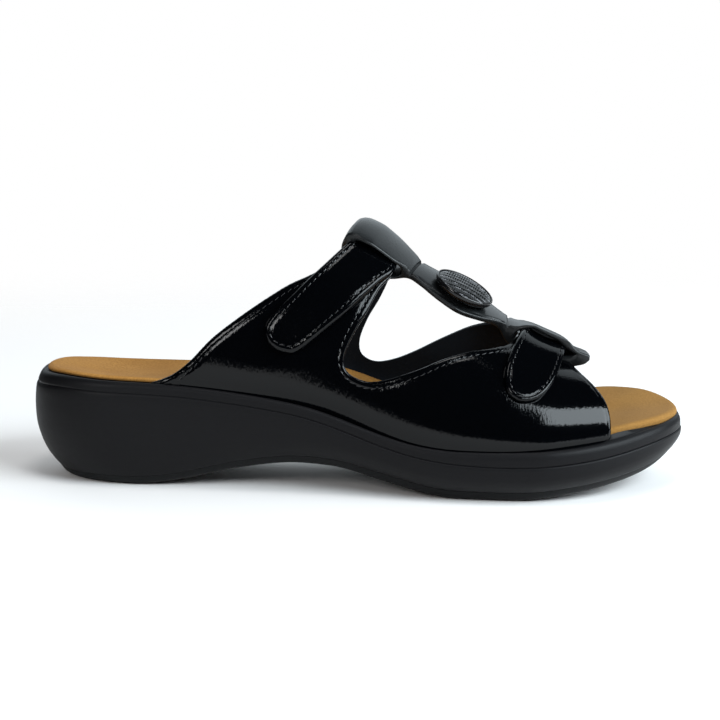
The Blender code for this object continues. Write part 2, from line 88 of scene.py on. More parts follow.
# %% [markdown]
# ## The sole's outline
# Seen from above, the sole is narrow at the heel, waisted, wide at the ball and rounded at both ends. Seen
# from the side, its rim dips towards the ball and lifts at the toe. Two tables and three rounding powers
# hold all of that. A traced outline would need hundreds of points, and could not be resized.

# %% Outline and rim
SOLE_LENGTH = 262.4
HEEL_END, TOE_END = -SOLE_LENGTH / 2, SOLE_LENGTH / 2
HEEL_ROUND_FROM, HEEL_POWER = -92.0, 2.2
TOE_ROUND_FROM, TOE_SWING = 72.0, 4.0
TOE_POWER_LATERAL, TOE_POWER_MEDIAL = 1.75, 2.3
# Half widths: x, lateral, medial
WIDTH_ROWS = [
    (-131.2, 32.5, 32.0), (-95.0, 32.5, 32.0), (-60.0, 33.5, 31.5), (-25.0, 35.5, 31.0), (5.0, 39.0, 34.5),
    (35.0, 44.5, 42.0), (60.0, 46.4, 46.4), (80.0, 46.2, 45.6), (131.2, 46.0, 44.0),
]
# Rim: x, lateral height, how much higher the medial side is
RIM_ROWS = [
    (-131.2, 41.6, 0.0), (-118.0, 43.4, -2.2), (-100.0, 42.8, -3.0), (-70.0, 41.7, -2.2), (-54.0, 40.2, -0.6),
    (-40.0, 38.5, 1.0), (-20.0, 35.2, 2.5), (-5.0, 30.8, 2.8), (10.0, 25.4, 2.6), (27.0, 21.2, 2.0),
    (42.0, 19.9, 1.5), (65.0, 20.2, 1.5), (80.0, 21.1, 2.2), (101.0, 23.2, 4.0), (117.0, 25.7, 3.0),
    (131.2, 27.5, 0.0),
]


def toe_share(x):
    """0 where the toe starts to round off, 1 at its tip."""
    return np.clip((x - TOE_ROUND_FROM) / (TOE_END - TOE_ROUND_FROM), 0, 1)


def round_share(x, medial):
    """Share of the half width that is left where the outline rounds off at heel and toe."""
    heel = np.clip((HEEL_ROUND_FROM - x) / (HEEL_ROUND_FROM - HEEL_END), 0, 1)
    power = np.where(medial, TOE_POWER_MEDIAL, TOE_POWER_LATERAL)
    heel_left = (1 - heel**HEEL_POWER) ** (1 / HEEL_POWER)
    return heel_left * (1 - toe_share(x) ** power) ** (1 / power)


def edge_y(x, medial, inset=0.0):
    """Y of the sole's fullest line on one side, moved inwards by inset."""
    half = np.where(medial, eased(WIDTH_ROWS, x, 2) - inset, inset - eased(WIDTH_ROWS, x, 1))
    return TOE_SWING * toe_share(x) ** 2 + half * round_share(x, medial)


def rim_z(x, medial, station=None):
    """Height of the rim on one side; a ring inside the outline names the station it was pulled in from."""
    side_rise = along(RIM_ROWS, x if station is None else station, 2)
    return eased(RIM_ROWS, x, 1) + np.where(medial, side_rise, 0.0)


print("ball width in mm:", round(float(edge_y(60.0, True) - edge_y(60.0, False)), 1))

# %% [markdown]
# ## From a flat grid to a closed skin
# The sole pieces are skins that close on themselves. One way is to build ring after ring of points and
# to join them face by face. Here Blender's own grid is made flat and wrapped: one direction runs round
# the shoe, the other from the middle of the top over the edge to the middle of the bottom. Doubles are
# merged where the grid meets itself, and the skin is closed.

# %% Closed skins
MERGE_DISTANCE = 1e-3


def moved(bm, points):
    """Moves every vertex to its new point."""
    for vert, point in zip(bm.verts, points):
        vert.co = point
    return bm


def places(bm):
    """Array of all vertex places."""
    return np.array([vert.co for vert in bm.verts], float).reshape(-1, 3)


def wrapped_grid(columns, rows, place):
    """Grid whose u runs round a form and whose v runs over it, closed where its edges meet."""
    bm = bmesh.new()
    bmesh.ops.create_grid(bm, x_segments=columns, y_segments=rows, size=0.5)
    flat = places(bm) + 0.5
    moved(bm, place(flat[:, 0], flat[:, 1]))
    bmesh.ops.remove_doubles(bm, verts=bm.verts[:], dist=MERGE_DISTANCE)
    bmesh.ops.recalc_face_normals(bm, faces=bm.faces[:])
    return bm


print("merged points lie closer than", MERGE_DISTANCE, "mm")

# %% [markdown]
# ## Keeping a piece
# A shoe is measured in millimetres, while Blender and the solids count in metres. One helper turns a finished
# mesh from the one into the other, faces it outwards, gives it its finish and lets it ride on the shoe. The
# object's scale could do the first, but then every pattern of a finish would see the wrong size.


def kept(name, bm, finish, node=None, sharp=40.0):
    """Turns a mesh in millimetres into a finished piece that rides on the shoe."""
    bmesh.ops.dissolve_degenerate(bm, dist=MERGE_DISTANCE / 10, edges=bm.edges[:])
    if bm.calc_volume(signed=True) < 0:
        bmesh.ops.reverse_faces(bm, faces=bm.faces[:])
    bmesh.ops.scale(bm, vec=(MM, MM, MM), verts=bm.verts[:])
    open_edges = sum(edge.is_boundary for edge in bm.edges)
    mesh = bpy.data.meshes.new(name)
    bm.to_mesh(mesh)
    bm.free()
    mesh.shade_smooth()
    mesh.set_sharp_from_angle(angle=math.radians(sharp))
    mesh.materials.append(finish)
    piece = bpy.data.objects.new(name, mesh)
    bpy.context.scene.collection.objects.link(piece)
    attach(piece, "root")
    if node:
        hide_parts(node)
    print(name, "has", len(mesh.polygons), "faces and", open_edges, "open edges")


# %% [markdown]
# ## A small language for nodes
# A finish is a web of nodes. Wiring them one by one hides the idea, so a wire gets Python's arithmetic:
# one minus a mask, a mask times a depth. Everything else comes from a single method that takes the node's
# kind, its settings and its sockets. The room around the shoe is wired with the same few lines.

# %% Wires
class Wire:
    """An output socket; sums and products of wires add Math nodes."""

    def __init__(self, web, socket):
        self.web = web
        self.socket = socket

    def joined(self, operation, first, second):
        return self.web.node("ShaderNodeMath", {"operation": operation}, {0: first, 1: second})

    def __add__(self, other):
        return self.joined("ADD", self, other)

    def __rsub__(self, other):
        return self.joined("SUBTRACT", other, self)

    def __mul__(self, other):
        return self.joined("MULTIPLY", self, other)

    __radd__ = __add__
    __rmul__ = __mul__


class Web:
    """A tree of nodes that is built wire by wire."""

    def __init__(self, tree):
        self.tree = tree

    def put(self, socket, value):
        """Links a wire to a socket, or sets a plain value on it."""
        if isinstance(value, Wire):
            self.tree.links.new(value.socket, socket)
        else:
            socket.default_value = value

    def node(self, kind, settings, sockets, output=0):
        """Adds a node, sets it up, feeds its sockets and returns one output."""
        made = self.tree.nodes.new(kind)
        for name, value in settings.items():
            setattr(made, name, value)
        for name, value in sockets.items():
            self.put(made.inputs[name], value)
        return Wire(self, made.outputs[output])

    def mixed(self, share, first, second):
        """Colour that goes from the first to the second with a wire."""
        return self.node("ShaderNodeMix", {"data_type": "RGBA"}, {0: share, 6: first, 7: second}, 2)


print("wires can be added, subtracted and multiplied")

# %% [markdown]
# ## Patterns of a finish
# Leather, foam and nap need only a few patterns: clouds, rounded cells of grain, and a smooth step from one
# tone to the next. Picture textures could show them too, but they blur close up and need unwrapping. The
# patterns here read the object's own metres, so they have their real size and never slide.

# %% Finishes
CELL_SMOOTHNESS = 0.6


class Finish(Web):
    """A material with one Principled shader and the patterns that feed it."""

    def __init__(self, name, fixed):
        self.material = bpy.data.materials.new(name)
        self.material.use_nodes = True
        super().__init__(self.material.node_tree)
        self.shader = self.tree.nodes["Principled BSDF"]
        for socket, value in fixed.items():
            self.feeds(socket, value)

    def place(self, stretch=(1, 1, 1), shift=(0, 0, 0)):
        """The object's own metres, stretched and shifted."""
        own = self.node("ShaderNodeTexCoord", {}, {}, "Object")
        return self.node("ShaderNodeMapping", {}, {"Vector": own, "Scale": stretch, "Location": shift})

    def noise(self, size, detail=2.0, stretch=(1, 1, 1)):
        """Cloudy pattern from 0 to 1 whose lumps are size millimetres across."""
        sockets = {"Vector": self.place(stretch), "Scale": 1 / (size * MM), "Detail": detail}
        return self.node("ShaderNodeTexNoise", {}, sockets)

    def cells(self, size):
        """Rounded cells of leather grain, 0 at their middle, size millimetres across."""
        sockets = {"Vector": self.place(), "Scale": 1 / (size * MM), "Smoothness": CELL_SMOOTHNESS}
        return self.node("ShaderNodeTexVoronoi", {"feature": "SMOOTH_F1"}, sockets)

    def between(self, wire, low, high):
        """0 below low, 1 above high, smooth between them."""
        sockets = {"Value": wire, "From Min": low, "From Max": high}
        return self.node("ShaderNodeMapRange", {"interpolation_type": "SMOOTHSTEP"}, sockets)

    def relief(self, height):
        """Bumps whose height is in millimetres."""
        bump = self.node("ShaderNodeBump", {}, {"Height": height, "Distance": MM, "Strength": 1.0})
        self.feeds("Normal", bump)

    def feeds(self, socket, value):
        """Lets a wire or a plain value drive one of the shader's sockets."""
        self.put(self.shader.inputs[socket], value)


print("relief is given in units of", MM, "m")

# %% [markdown]
# ## Finishes of the sole and footbed
# The sole unit is foam in a matt mould: nearly black, with a fine even grain that breaks up its sheen. The
# footbed is tan and soft to the touch: a short nap, a slight cloudiness of colour and almost no gloss.
# Towards the toe its colour is painted darker and greyer, as painted shade. Both could be one flat colour,
# but then the light would slide over them as over painted card.

# %% Sole and footbed finishes
# Where along the foot the footbed's painted toe shade begins and where it is full, in mm
TOE_SHADE_FROM, TOE_SHADE_TO = 78.0, 112.0
sole = Finish("sole_foam", {"Base Color": (0.0045, 0.0044, 0.0052, 1), "Specular IOR Level": 0.14})
sole_grain = sole.noise(0.55, detail=3.0)
sole_cloud = sole.noise(24.0)
sole.feeds("Roughness", 0.38 + 0.12 * sole_cloud + 0.06 * sole_grain)
sole.relief(0.022 * sole_grain + 0.05 * sole.noise(3.2))

tread = Finish("outsole_rubber", {"Base Color": (0.0055, 0.0058, 0.0062, 1), "Specular IOR Level": 0.14})
tread.feeds("Roughness", 0.5 + 0.16 * tread.noise(9.0))
tread.relief(0.03 * tread.noise(0.7, detail=3.0))

nap = Finish("footbed", {"Sheen Weight": 0.02, "Sheen Roughness": 0.5, "Specular IOR Level": 0.06})
nap_cloud = nap.between(nap.noise(17.0, detail=3.0), 0.35, 0.68)
nap_fibre = nap.noise(0.8, detail=4.0)
nap_tone = nap.between(nap_fibre, 0.40, 0.62)
nap_warm = nap.mixed(nap_cloud, (0.372, 0.178, 0.043, 1), (0.420, 0.208, 0.053, 1))
nap_worn = nap.mixed(0.5 * nap_tone, nap_warm, (0.250, 0.115, 0.027, 1))
# Painted shade: the footbed's colour is darkened and greyed towards the toe
nap_along = nap.node("ShaderNodeSeparateXYZ", {}, {"Vector": nap.place()}, "X")
painted_toe_shade = nap.between(nap_along, TOE_SHADE_FROM * MM, TOE_SHADE_TO * MM)
nap.feeds("Base Color", nap.mixed(0.6 * painted_toe_shade, nap_worn, (0.190, 0.105, 0.032, 1)))
nap.feeds("Roughness", 0.78 + 0.16 * nap_fibre)
nap.relief(0.10 * nap_fibre + 0.05 * nap.noise(1.7))
print("finishes:", sole.material.name, tread.material.name, nap.material.name)

# %% [markdown]
# ## Rings round the sole
# Midsole, outsole and footbed are the same kind of form: rings that follow the sole's outline, each pulled
# in by so much, and closed towards a line along the middle. They could be lofted from sections drawn one by
# one. A table of rings and a function that places them are shorter, and a new ring is only a new row.

# %% Rings round the sole
COLUMNS, ROWS_PER_RING = 176, 5
SPINE_HEEL, SPINE_TOE = HEEL_END + 33.0, TOE_END - 45.0


def ring_values(rings, v):
    """Columns of a table of rings at the share v of the way through it."""
    numbered = [(number, *ring) for number, ring in enumerate(rings)]
    step = v * (len(rings) - 1)
    return [along(numbered, step, column) for column in range(1, len(numbered[0]))]


def sole_ring(u, heel_in, toe_in, side_in):
    """X, y, side and station of points round the sole: heel tip, lateral side, toe, medial side."""
    medial = u > 0.5
    share = (1 - np.cos(math.tau * u)) / 2
    station = HEEL_END + share * SOLE_LENGTH
    x = HEEL_END + heel_in + share * (SOLE_LENGTH - heel_in - toe_in)
    return x, edge_y(station, medial, side_in), medial, station


def board_z(x):
    """Height of the sole's middle line between its two rims."""
    return (rim_z(x, False) + rim_z(x, True)) / 2


def to_spine(x, y, z, spine_z, share):
    """Draws points towards the sole's middle line."""
    spine_x = np.clip(x, SPINE_HEEL, SPINE_TOE)
    middle = (edge_y(spine_x, True) + edge_y(spine_x, False)) / 2
    ends = np.stack([spine_x, middle, spine_z(spine_x)], axis=1)
    return ends * share[:, None] + np.stack([x, y, z], axis=1) * (1 - share[:, None])


print("middle line in mm: from", round(SPINE_HEEL, 1), "to", round(SPINE_TOE, 1))

# %% [markdown]
# ## Heights along the sole
# Three more lines run along the sole: its underside, flat at heel and ball and lifted between them and at
# the toe; the fine groove under the rim; and the hollow that heel and ball press into the footbed. They
# could be read from cross sections, but a sole is drawn as lines along the foot, and so are these.

# %% Heights along the sole
# Underside, flat at heel and ball: x, height
GROUND_ROWS = [
    (-131.2, 0.0), (-88.0, 0.0), (-78.0, 0.7), (-66.0, 2.8), (-45.0, 7.8), (-22.0, 10.6), (-8.0, 9.8),
    (12.0, 5.2), (30.0, 1.2), (41.0, 0.0), (66.0, 0.0), (82.0, 1.6), (102.0, 4.4), (114.0, 6.8),
    (122.0, 9.2), (131.2, 13.6),
]
# Drop of the groove below the rim: x, drop
GROOVE_ROWS = [(-131.2, 3.9), (20.0, 3.9), (70.0, 5.4), (131.2, 5.0)]
# Hollow of the footbed below its edges: x, depth
DISH_ROWS = [
    (-121.0, 0.0), (-92.0, 2.6), (-55.0, 2.4), (-15.0, 1.2), (30.0, 0.8), (75.0, 1.0), (116.0, 0.0),
]
print("arch in mm over the ground:", max(height for x, height in GROUND_ROWS if x < 0))

# %% [markdown]
# ## The midsole
# The midsole is a moulded wedge. A bead runs round its rim, a fine groove lies under the bead, and below
# the groove the side swells out and tucks in again towards the tread. Read from the top down, that is a
# list of rings, each pulled in by so much at heel, toe and side. The grid is wrapped through those rings,
# with extra rows between them, so that the bead and the swell are round and not stepped. In front of the
# upper, a low lip on the lateral side holds the edge of the footbed.

# %% Midsole
OUTSOLE_THICKNESS = 3.7
# Rings from top to bottom: share of the bead, share of the wall, insets at heel, toe and side, 1 at the spine
MIDSOLE_RINGS = [
    (0.00, 0.00, 5.4, 5.0, 5.4, 1.0),
    (0.00, 0.00, 5.4, 5.0, 5.4, 0.0),
    (-0.03, 0.00, 4.7, 3.0, 2.9, 0.0),
    (-0.11, 0.00, 4.0, 2.2, 2.1, 0.0),
    (-0.01, 0.00, 3.2, 1.4, 1.3, 0.0),
    (0.18, 0.00, 2.5, 0.8, 0.7, 0.0),
    (0.45, 0.00, 1.9, 0.4, 0.4, 0.0),
    (0.86, 0.00, 1.3, 0.3, 0.3, 0.0),
    (1.00, 0.00, 1.4, 0.54, 0.62, 0.0),
    (1.00, 0.028, 0.7, 0.17, 0.2, 0.0),
    (1.00, 0.12, 0.2, 0.0, 0.0, 0.0),
    (1.00, 0.27, 0.0, 0.0, 0.0, 0.0),
    (1.00, 0.46, 0.4, 0.1, 0.3, 0.0),
    (1.00, 0.66, 2.1, 0.5, 1.4, 0.0),
    (1.00, 0.84, 5.0, 1.2, 3.2, 0.0),
    (1.00, 0.96, 8.2, 1.9, 4.9, 0.0),
    (1.00, 1.00, 9.5, 2.4, 5.7, 0.0),
    (1.00, 1.00, 9.5, 2.4, 5.7, 1.0),
]
# Lip beside the footbed: x, height
LIP_ROWS = [(96.5, 0.0), (100.0, 2.5), (103.5, 3.0), (108.0, 2.6), (113.0, 1.6), (119.0, 0.6), (125.0, 0.0)]
LIP_INSET, LIP_WIDTH = 4.3, 1.0


def midsole_place(u, v):
    """Points of the midsole: u runs round it, v from the middle of its top to that of its base."""
    bead, wall, heel_in, toe_in, side_in, spine = ring_values(MIDSOLE_RINGS, v)
    x, y, medial, station = sole_ring(u, heel_in, toe_in, side_in)
    groove = eased(GROOVE_ROWS, x)
    top = rim_z(x, medial, station) - bead * groove
    base = along(GROUND_ROWS, x) + OUTSOLE_THICKNESS
    upper_half = v < 0.5
    lip = np.exp(-(((side_in - LIP_INSET) / LIP_WIDTH) ** 2)) * (upper_half & ~medial)
    z = top + wall * (base - top) + lip * along(LIP_ROWS, x)

    def spine_z(at):
        hollow = board_z(at) - along(DISH_ROWS, at)
        return np.where(upper_half, hollow, along(GROUND_ROWS, at) + OUTSOLE_THICKNESS)

    return to_spine(x, y, z, spine_z, spine)


midsole = wrapped_grid(COLUMNS, ROWS_PER_RING * (len(MIDSOLE_RINGS) - 1), midsole_place)
kept("midsole", midsole, sole.material, "midsole", sharp=60)

# %% [markdown]
# ## The outsole
# Under the foam lies a thin tread layer, flat at heel and ball and lifted at arch and toe. It is the same
# kind of wrapped skin with fewer rings. Shallow bars across the ground face give it a plain grip: they are
# points of the grid moved up, which costs nothing, where cutting each bar would cost a Boolean.

# %% Outsole
# Rings: height above the ground face, insets at heel, toe and side, 1 at the spine
OUTSOLE_RINGS = [
    (3.6, 9.6, 2.5, 5.8, 1.0),
    (3.6, 9.6, 2.5, 5.8, 0.0),
    (3.2, 9.8, 3.0, 6.0, 0.0),
    (1.2, 11.4, 6.0, 7.2, 0.0),
    (0.3, 13.0, 8.0, 8.6, 0.0),
    (0.0, 14.6, 10.0, 10.2, 0.0),
    (0.0, 14.6, 10.0, 10.2, 1.0),
]
BAR_PITCH, BAR_DEPTH = 7.0, 0.8
BAR_SLOPE, BAR_START = 3.0, 1.5
BAR_MARGIN, BAR_FADE = 0.1, 8.0


def outsole_place(u, v):
    """Points of the outsole, with its bars pressed into the ground face."""
    rise, heel_in, toe_in, side_in, spine = ring_values(OUTSOLE_RINGS, v)
    x, y = sole_ring(u, heel_in, toe_in, side_in)[:2]

    def spine_z(at):
        return along(GROUND_ROWS, at) + rise

    points = to_spine(x, y, spine_z(x), spine_z, spine)
    bars = np.clip(BAR_SLOPE * np.sin(math.tau * points[:, 0] / BAR_PITCH) - BAR_START, 0, 1)
    inside = np.clip((spine - BAR_MARGIN) * BAR_FADE, 0, 1) * (v > 0.5)
    points[:, 2] += BAR_DEPTH * bars * inside
    return points


outsole = wrapped_grid(2 * COLUMNS, ROWS_PER_RING * (len(OUTSOLE_RINGS) - 1), outsole_place)
kept("outsole", outsole, tread.material, "outsole")

# %% [markdown]
# ## The footbed
# The footbed is a padded board with a rounded edge, hollowed where the heel and the ball press and raised
# a little under the arch. The same wrap makes it: its top runs from the middle line out to the edge, so the
# hollow is smooth all over. A flat board with a bevel would be quicker, but a foot never lies on a flat one.
# At the lateral toe its edge draws in behind the midsole's lip.

# %% Footbed
GAP = 0.3
INSOLE_INSET, INSOLE_TOE_INSET, LATERAL_TOE_INSET = 5.2, 1.9, 6.0
ARCH_X, ARCH_LENGTH, ARCH_HEIGHT = -4.0, 30.0, 2.2
INSOLE_ROWS, TOP_SHARE = 8, 0.6
# Share of the board's height that stands over the rim: x, share
BOARD_ROWS = [
    (-131.2, 0.6), (-60.0, 0.65), (0.0, 1.0), (80.0, 1.2), (101.0, 1.6), (117.0, 1.4), (131.2, 1.0),
]
# Rings: height above the rim, inset, 1 at the spine
INSOLE_RINGS = [
    (2.7, 1.7, 1.0),
    (2.7, 1.7, 0.0),
    (2.5, 0.8, 0.0),
    (2.0, 0.2, 0.0),
    (1.3, 0.0, 0.0),
    (0.3, 0.2, 0.0),
    (0.3, 0.2, 1.0),
]


def insole_place(u, v):
    """Points of the footbed."""
    rise, inset, spine = ring_values(INSOLE_RINGS, v)
    station = sole_ring(u, 0, 0, 0)[3]
    lateral_toe = np.where(u < 0.5, toe_share(station), 0)
    side_in = inset + INSOLE_INSET + LATERAL_TOE_INSET * 4 * lateral_toe * (1 - lateral_toe)
    x, y, medial, station = sole_ring(u, inset + INSOLE_INSET, inset + INSOLE_TOE_INSET, side_in)

    def stand(at):
        return GAP + (rise - GAP) * along(BOARD_ROWS, at)

    def spine_z(at):
        return board_z(at) + stand(at)

    points = to_spine(x, y, rim_z(x, medial, station) + stand(x), spine_z, spine)
    hollow = along(DISH_ROWS, points[:, 0]) * (1 - (1 - spine) ** 2)
    arch = ARCH_HEIGHT * np.exp(-(((points[:, 0] - ARCH_X) / ARCH_LENGTH) ** 2))
    points[:, 2] += arch * np.where(medial, (1 - spine) ** 2, 0) * (v < TOP_SHARE) - hollow
    return points


insole = wrapped_grid(COLUMNS, INSOLE_ROWS * (len(INSOLE_RINGS) - 1), insole_place)
kept("insole", insole, nap.material, "insole")

# %% [markdown]
# ## Finishes of the upper
# Patent leather is leather under a clear film. It is black, mirrors its surroundings, and its film keeps
# the leather's fine crinkle, so that the edge of every reflection is a little ragged. We make the crinkle
# as relief under a low roughness, because a separate smooth coat would hide it. The lining is plain matt
# leather, the bridge a soft nappa with a sheen, and the thread a waxed black.

# %% Upper finishes
patent = Finish("patent", {"Base Color": (0.0006, 0.0008, 0.0012, 1), "Specular IOR Level": 0.22})
crinkle = patent.noise(1.0, detail=2.5, stretch=(1.6, 1.0, 0.42))
pores = patent.cells(1.3)
swell = patent.noise(11.0, detail=1.0)
patent.feeds("Roughness", 0.055 + 0.05 * patent.noise(6.0, detail=3.0))
patent.relief(0.05 * crinkle + 0.004 * pores + 0.03 * swell)

lining = Finish("lining", {"Base Color": (0.0045, 0.0062, 0.0092, 1), "Specular IOR Level": 0.16})
lining.feeds("Roughness", 0.72 + 0.2 * lining.noise(2.5, detail=3.0))
lining.relief(0.03 * lining.cells(0.9) + 0.02 * lining.noise(0.5))

nappa = Finish("bridge_leather", {"Specular IOR Level": 0.27})
nappa_grain = nappa.cells(0.8)
nappa.feeds("Base Color", nappa.mixed(nappa_grain, (0.0080, 0.0090, 0.0096, 1), (0.0055, 0.0063, 0.0068, 1)))
nappa.feeds("Roughness", 0.23 + 0.12 * nappa.noise(8.0, detail=3.0))
nappa.relief(0.02 * nappa_grain + 0.012 * nappa.noise(0.4) + 0.05 * nappa.noise(6.0))

thread = Finish("thread", {"Base Color": (0.007, 0.0072, 0.008, 1)})
thread.feeds("Roughness", 0.18 + 0.2 * thread.noise(0.3))
print("finishes:", patent.material.name, lining.material.name, nappa.material.name, thread.material.name)

# %% [markdown]
# ## The crown of the last
# Upper, straps and bridge all lie over one form, the front half of the last. At each place along the foot
# its section is a rounded arch from the lateral rim over a ridge to the medial rim. We measure round that
# arch in degrees: 0 at the lateral rim, 90 on the ridge, 180 at the medial rim. A point of any piece is
# then a place along the foot, a turn in degrees and a height over the arch. A sculpted last would have to be
# probed for every point; this one answers in numbers.

# %% Crown
UPPER_INSET = 2.0
TOE_INSET, TOE_INSET_FROM, TOE_INSET_TO = 2.4, 58.0, 98.0
STEP_X, STEP_DEGREES = 0.5, 1.5
# x, ridge y, ridge height, fullness of the lateral and the medial side
CROWN_ROWS = [
    (-80.0, 6.0, 124.0, 1.9, 2.3), (-40.0, 7.0, 112.0, 1.9, 2.3), (-10.0, 7.0, 102.6, 1.95, 2.3),
    (1.5, 7.0, 96.2, 2.0, 2.3), (22.0, 7.0, 86.2, 1.95, 2.3), (42.0, 7.0, 74.6, 1.95, 2.3),
    (60.0, 6.5, 63.4, 2.3, 2.4), (70.0, 6.0, 56.9, 2.42, 2.5), (80.0, 5.5, 53.0, 2.5, 2.6),
    (87.0, 5.0, 50.8, 2.65, 2.7), (95.0, 5.0, 48.8, 2.8, 2.8), (110.0, 5.0, 45.0, 2.8, 2.8),
]


def upper_foot_y(x, medial):
    """Y of the line where the upper meets the rim: a little inside it, and more so towards the toe."""
    share = np.clip((x - TOE_INSET_FROM) / (TOE_INSET_TO - TOE_INSET_FROM), 0, 1)
    return edge_y(x, medial, UPPER_INSET + TOE_INSET * share * share * (3 - 2 * share))


def crown(x, degrees):
    """Points of the upper's outer face."""
    medial = degrees > 90
    turn = np.radians(np.where(medial, 180 - degrees, degrees))
    ridge_y, ridge_z = eased(CROWN_ROWS, x, 1), eased(CROWN_ROWS, x, 2)
    fullness = np.where(medial, eased(CROWN_ROWS, x, 4), eased(CROWN_ROWS, x, 3))
    foot_y, foot_z = upper_foot_y(x, medial), rim_z(x, medial) + GAP
    spread = np.clip(np.cos(turn), 0, 1) ** (2 / fullness)
    y = ridge_y + (foot_y - ridge_y) * spread
    return np.stack([x, y, foot_z + (ridge_z - foot_z) * np.sin(turn)], axis=-1)


def crown_normal(x, degrees):
    """Outward directions of the upper's outer face."""
    forward = crown(x + STEP_X, degrees) - crown(x - STEP_X, degrees)
    around = crown(x, degrees + STEP_DEGREES) - crown(x, degrees - STEP_DEGREES)
    normal = np.cross(forward, around)
    return normal / np.linalg.norm(normal, axis=-1, keepdims=True)


def over_crown(x, degrees, height):
    """Points at a height over the upper's outer face."""
    return crown(x, degrees) + np.asarray(height)[..., None] * crown_normal(x, degrees)


print("instep height in mm:", round(float(crown(np.array([1.5]), np.array([90.0]))[0, 2]), 1))

# %% [markdown]
# ## Finding a place on the crown
# Edges are read from the side, as heights, and the bridge is read from above, as a distance from the middle.
# The crown speaks degrees, so two small functions turn its formula round. A search by trial would find the
# same places, only more slowly.

# %% Places on the crown
def degrees_at_height(x, z, medial):
    """Where the arch reaches a height on one side."""
    foot = rim_z(x, medial) + GAP
    turn = np.degrees(np.arcsin(np.clip((z - foot) / (eased(CROWN_ROWS, x, 2) - foot), 0, 1)))
    return np.where(medial, 180 - turn, turn)


def degrees_at_y(x, y):
    """Where the arch crosses a given y near its ridge."""
    ridge_y = eased(CROWN_ROWS, x, 1)
    medial = y > ridge_y
    fullness = np.where(medial, eased(CROWN_ROWS, x, 4), eased(CROWN_ROWS, x, 3))
    share = (y - ridge_y) / (upper_foot_y(x, medial) - ridge_y)
    turn = np.degrees(np.arccos(np.clip(share, 0, 1) ** (fullness / 2)))
    return np.where(medial, 180 - turn, turn)


print("40 mm up at the ball lies at", round(float(degrees_at_height(60.0, 40.0, False)), 1), "degrees")

# %% [markdown]
# ## Flat patterns
# A shoemaker draws an edge through a few marked points and cuts along it. We do the same on a flat sheet:
# one direction is the place along the foot, the other the turn in degrees, scaled so that the sheet is about
# as wide as the real leather. A curve through the marks gives the cut. Blender's own curves could be used,
# but then every pattern would be an object to make, to read and to delete.

# %% Flat patterns
FLAT_PER_DEGREE = 0.85
PATTERN_STEP = 1.3


def curve_value(t, before, start, end, after):
    """Value between start and end on a curve that also heeds the values before and after them."""
    bend = 2 * before - 5 * start + 4 * end - after
    twist = 3 * start - before - 3 * end + after
    return start + 0.5 * t * (end - before + t * (bend + t * twist))


def smooth_path(points, closed=False):
    """Points every millimetre or so on a smooth curve through the given ones."""
    count = len(points)
    path = []
    for i in range(count if closed else count - 1):
        if closed:
            corners = [points[(i + k) % count] for k in (-1, 0, 1, 2)]
        else:
            corners = [points[min(count - 1, max(0, i + k))] for k in (-1, 0, 1, 2)]
        steps = max(1, round(math.dist(corners[1], corners[2]) / PATTERN_STEP))
        for step in range(steps):
            path.append(tuple(curve_value(step / steps, *values) for values in zip(*corners)))
    return path if closed else path + [tuple(points[-1])]


def flat_side(rows, medial):
    """Side-view rows of x and height as points of the flat pattern."""
    return [(x, float(degrees_at_height(x, z, medial)) * FLAT_PER_DEGREE) for x, z in rows]


def flat_turn(rows):
    """Rows of x and degrees as points of the flat pattern."""
    return [(x, degrees * FLAT_PER_DEGREE) for x, degrees in rows]


print("a quarter turn is", 90 * FLAT_PER_DEGREE, "mm of flat pattern")

# %% [markdown]
# ## Working on flat leather
# A flat pattern is turned face up, its edge is stepped inwards with a rise or a fall, and it is cut along
# lines where it will have to bend. bmesh has an operator for each of these. A grid laid over the pattern and
# trimmed to it would bend as well, but its border would be ragged.

# %% Tools for flat leather
def whole(bm):
    """Everything in a mesh, for operators that ask for geometry."""
    return bm.verts[:] + bm.edges[:] + bm.faces[:]


def grid_cut(bm, axis, values):
    """Cuts a flat pattern along lines across one axis, so that it can follow a curved form."""
    normal = Vector((0, 0, 0))
    normal[axis] = 1
    for value in values:
        bmesh.ops.bisect_plane(
            bm, geom=whole(bm), dist=MERGE_DISTANCE, plane_co=normal * value, plane_no=normal
        )


def steps_between(step, values):
    """Multiples of a step inside the span of some values."""
    return [step * k for k in range(math.ceil(min(values) / step), math.floor(max(values) / step) + 1)]


def rounded_in(bm, faces, steps):
    """Insets faces step by step, each step with its own rise."""
    for width, rise in steps:
        bmesh.ops.inset_region(
            bm, faces=faces, thickness=width, depth=rise, use_boundary=True, use_even_offset=True
        )


def face_up(bm):
    """Turns a flat mesh so that its faces look up."""
    bmesh.ops.recalc_face_normals(bm, faces=bm.faces[:])
    if bm.faces[:][0].normal.z < 0:
        bmesh.ops.reverse_faces(bm, faces=bm.faces[:])


def points_of(geometry):
    """The vertices in what an operator gives back."""
    return [part for part in geometry if isinstance(part, bmesh.types.BMVert)]


print("cuts every 2 mm in a span of 7 mm:", steps_between(2, (0, 7)))

# %% [markdown]
# ## Cutting panels
# Leather is cut flat and pulled over the last, and so are our panels. Insetting a pattern step by step, with
# a little rise or fall each time, turns its edge under and presses a shallow channel for the stitches, all
# before the panel is bent. Then the flat panel is cut into a fine grid, given its thickness and laid over
# the crown. Modelling the bent panel directly would leave no flat sheet to inset.

# %% Panels
TUCK = 4.5
GRID_X, GRID_DEGREES = 1.6, 2.0
# Turned edge of the leather from the outside in: width of the step, rise
TURNED_EDGE = [
    (0.22, 0.42), (0.40, 0.26), (0.75, 0.08), (0.45, -0.13), (0.35, 0.0), (0.45, 0.15), (0.8, 0.0),
]


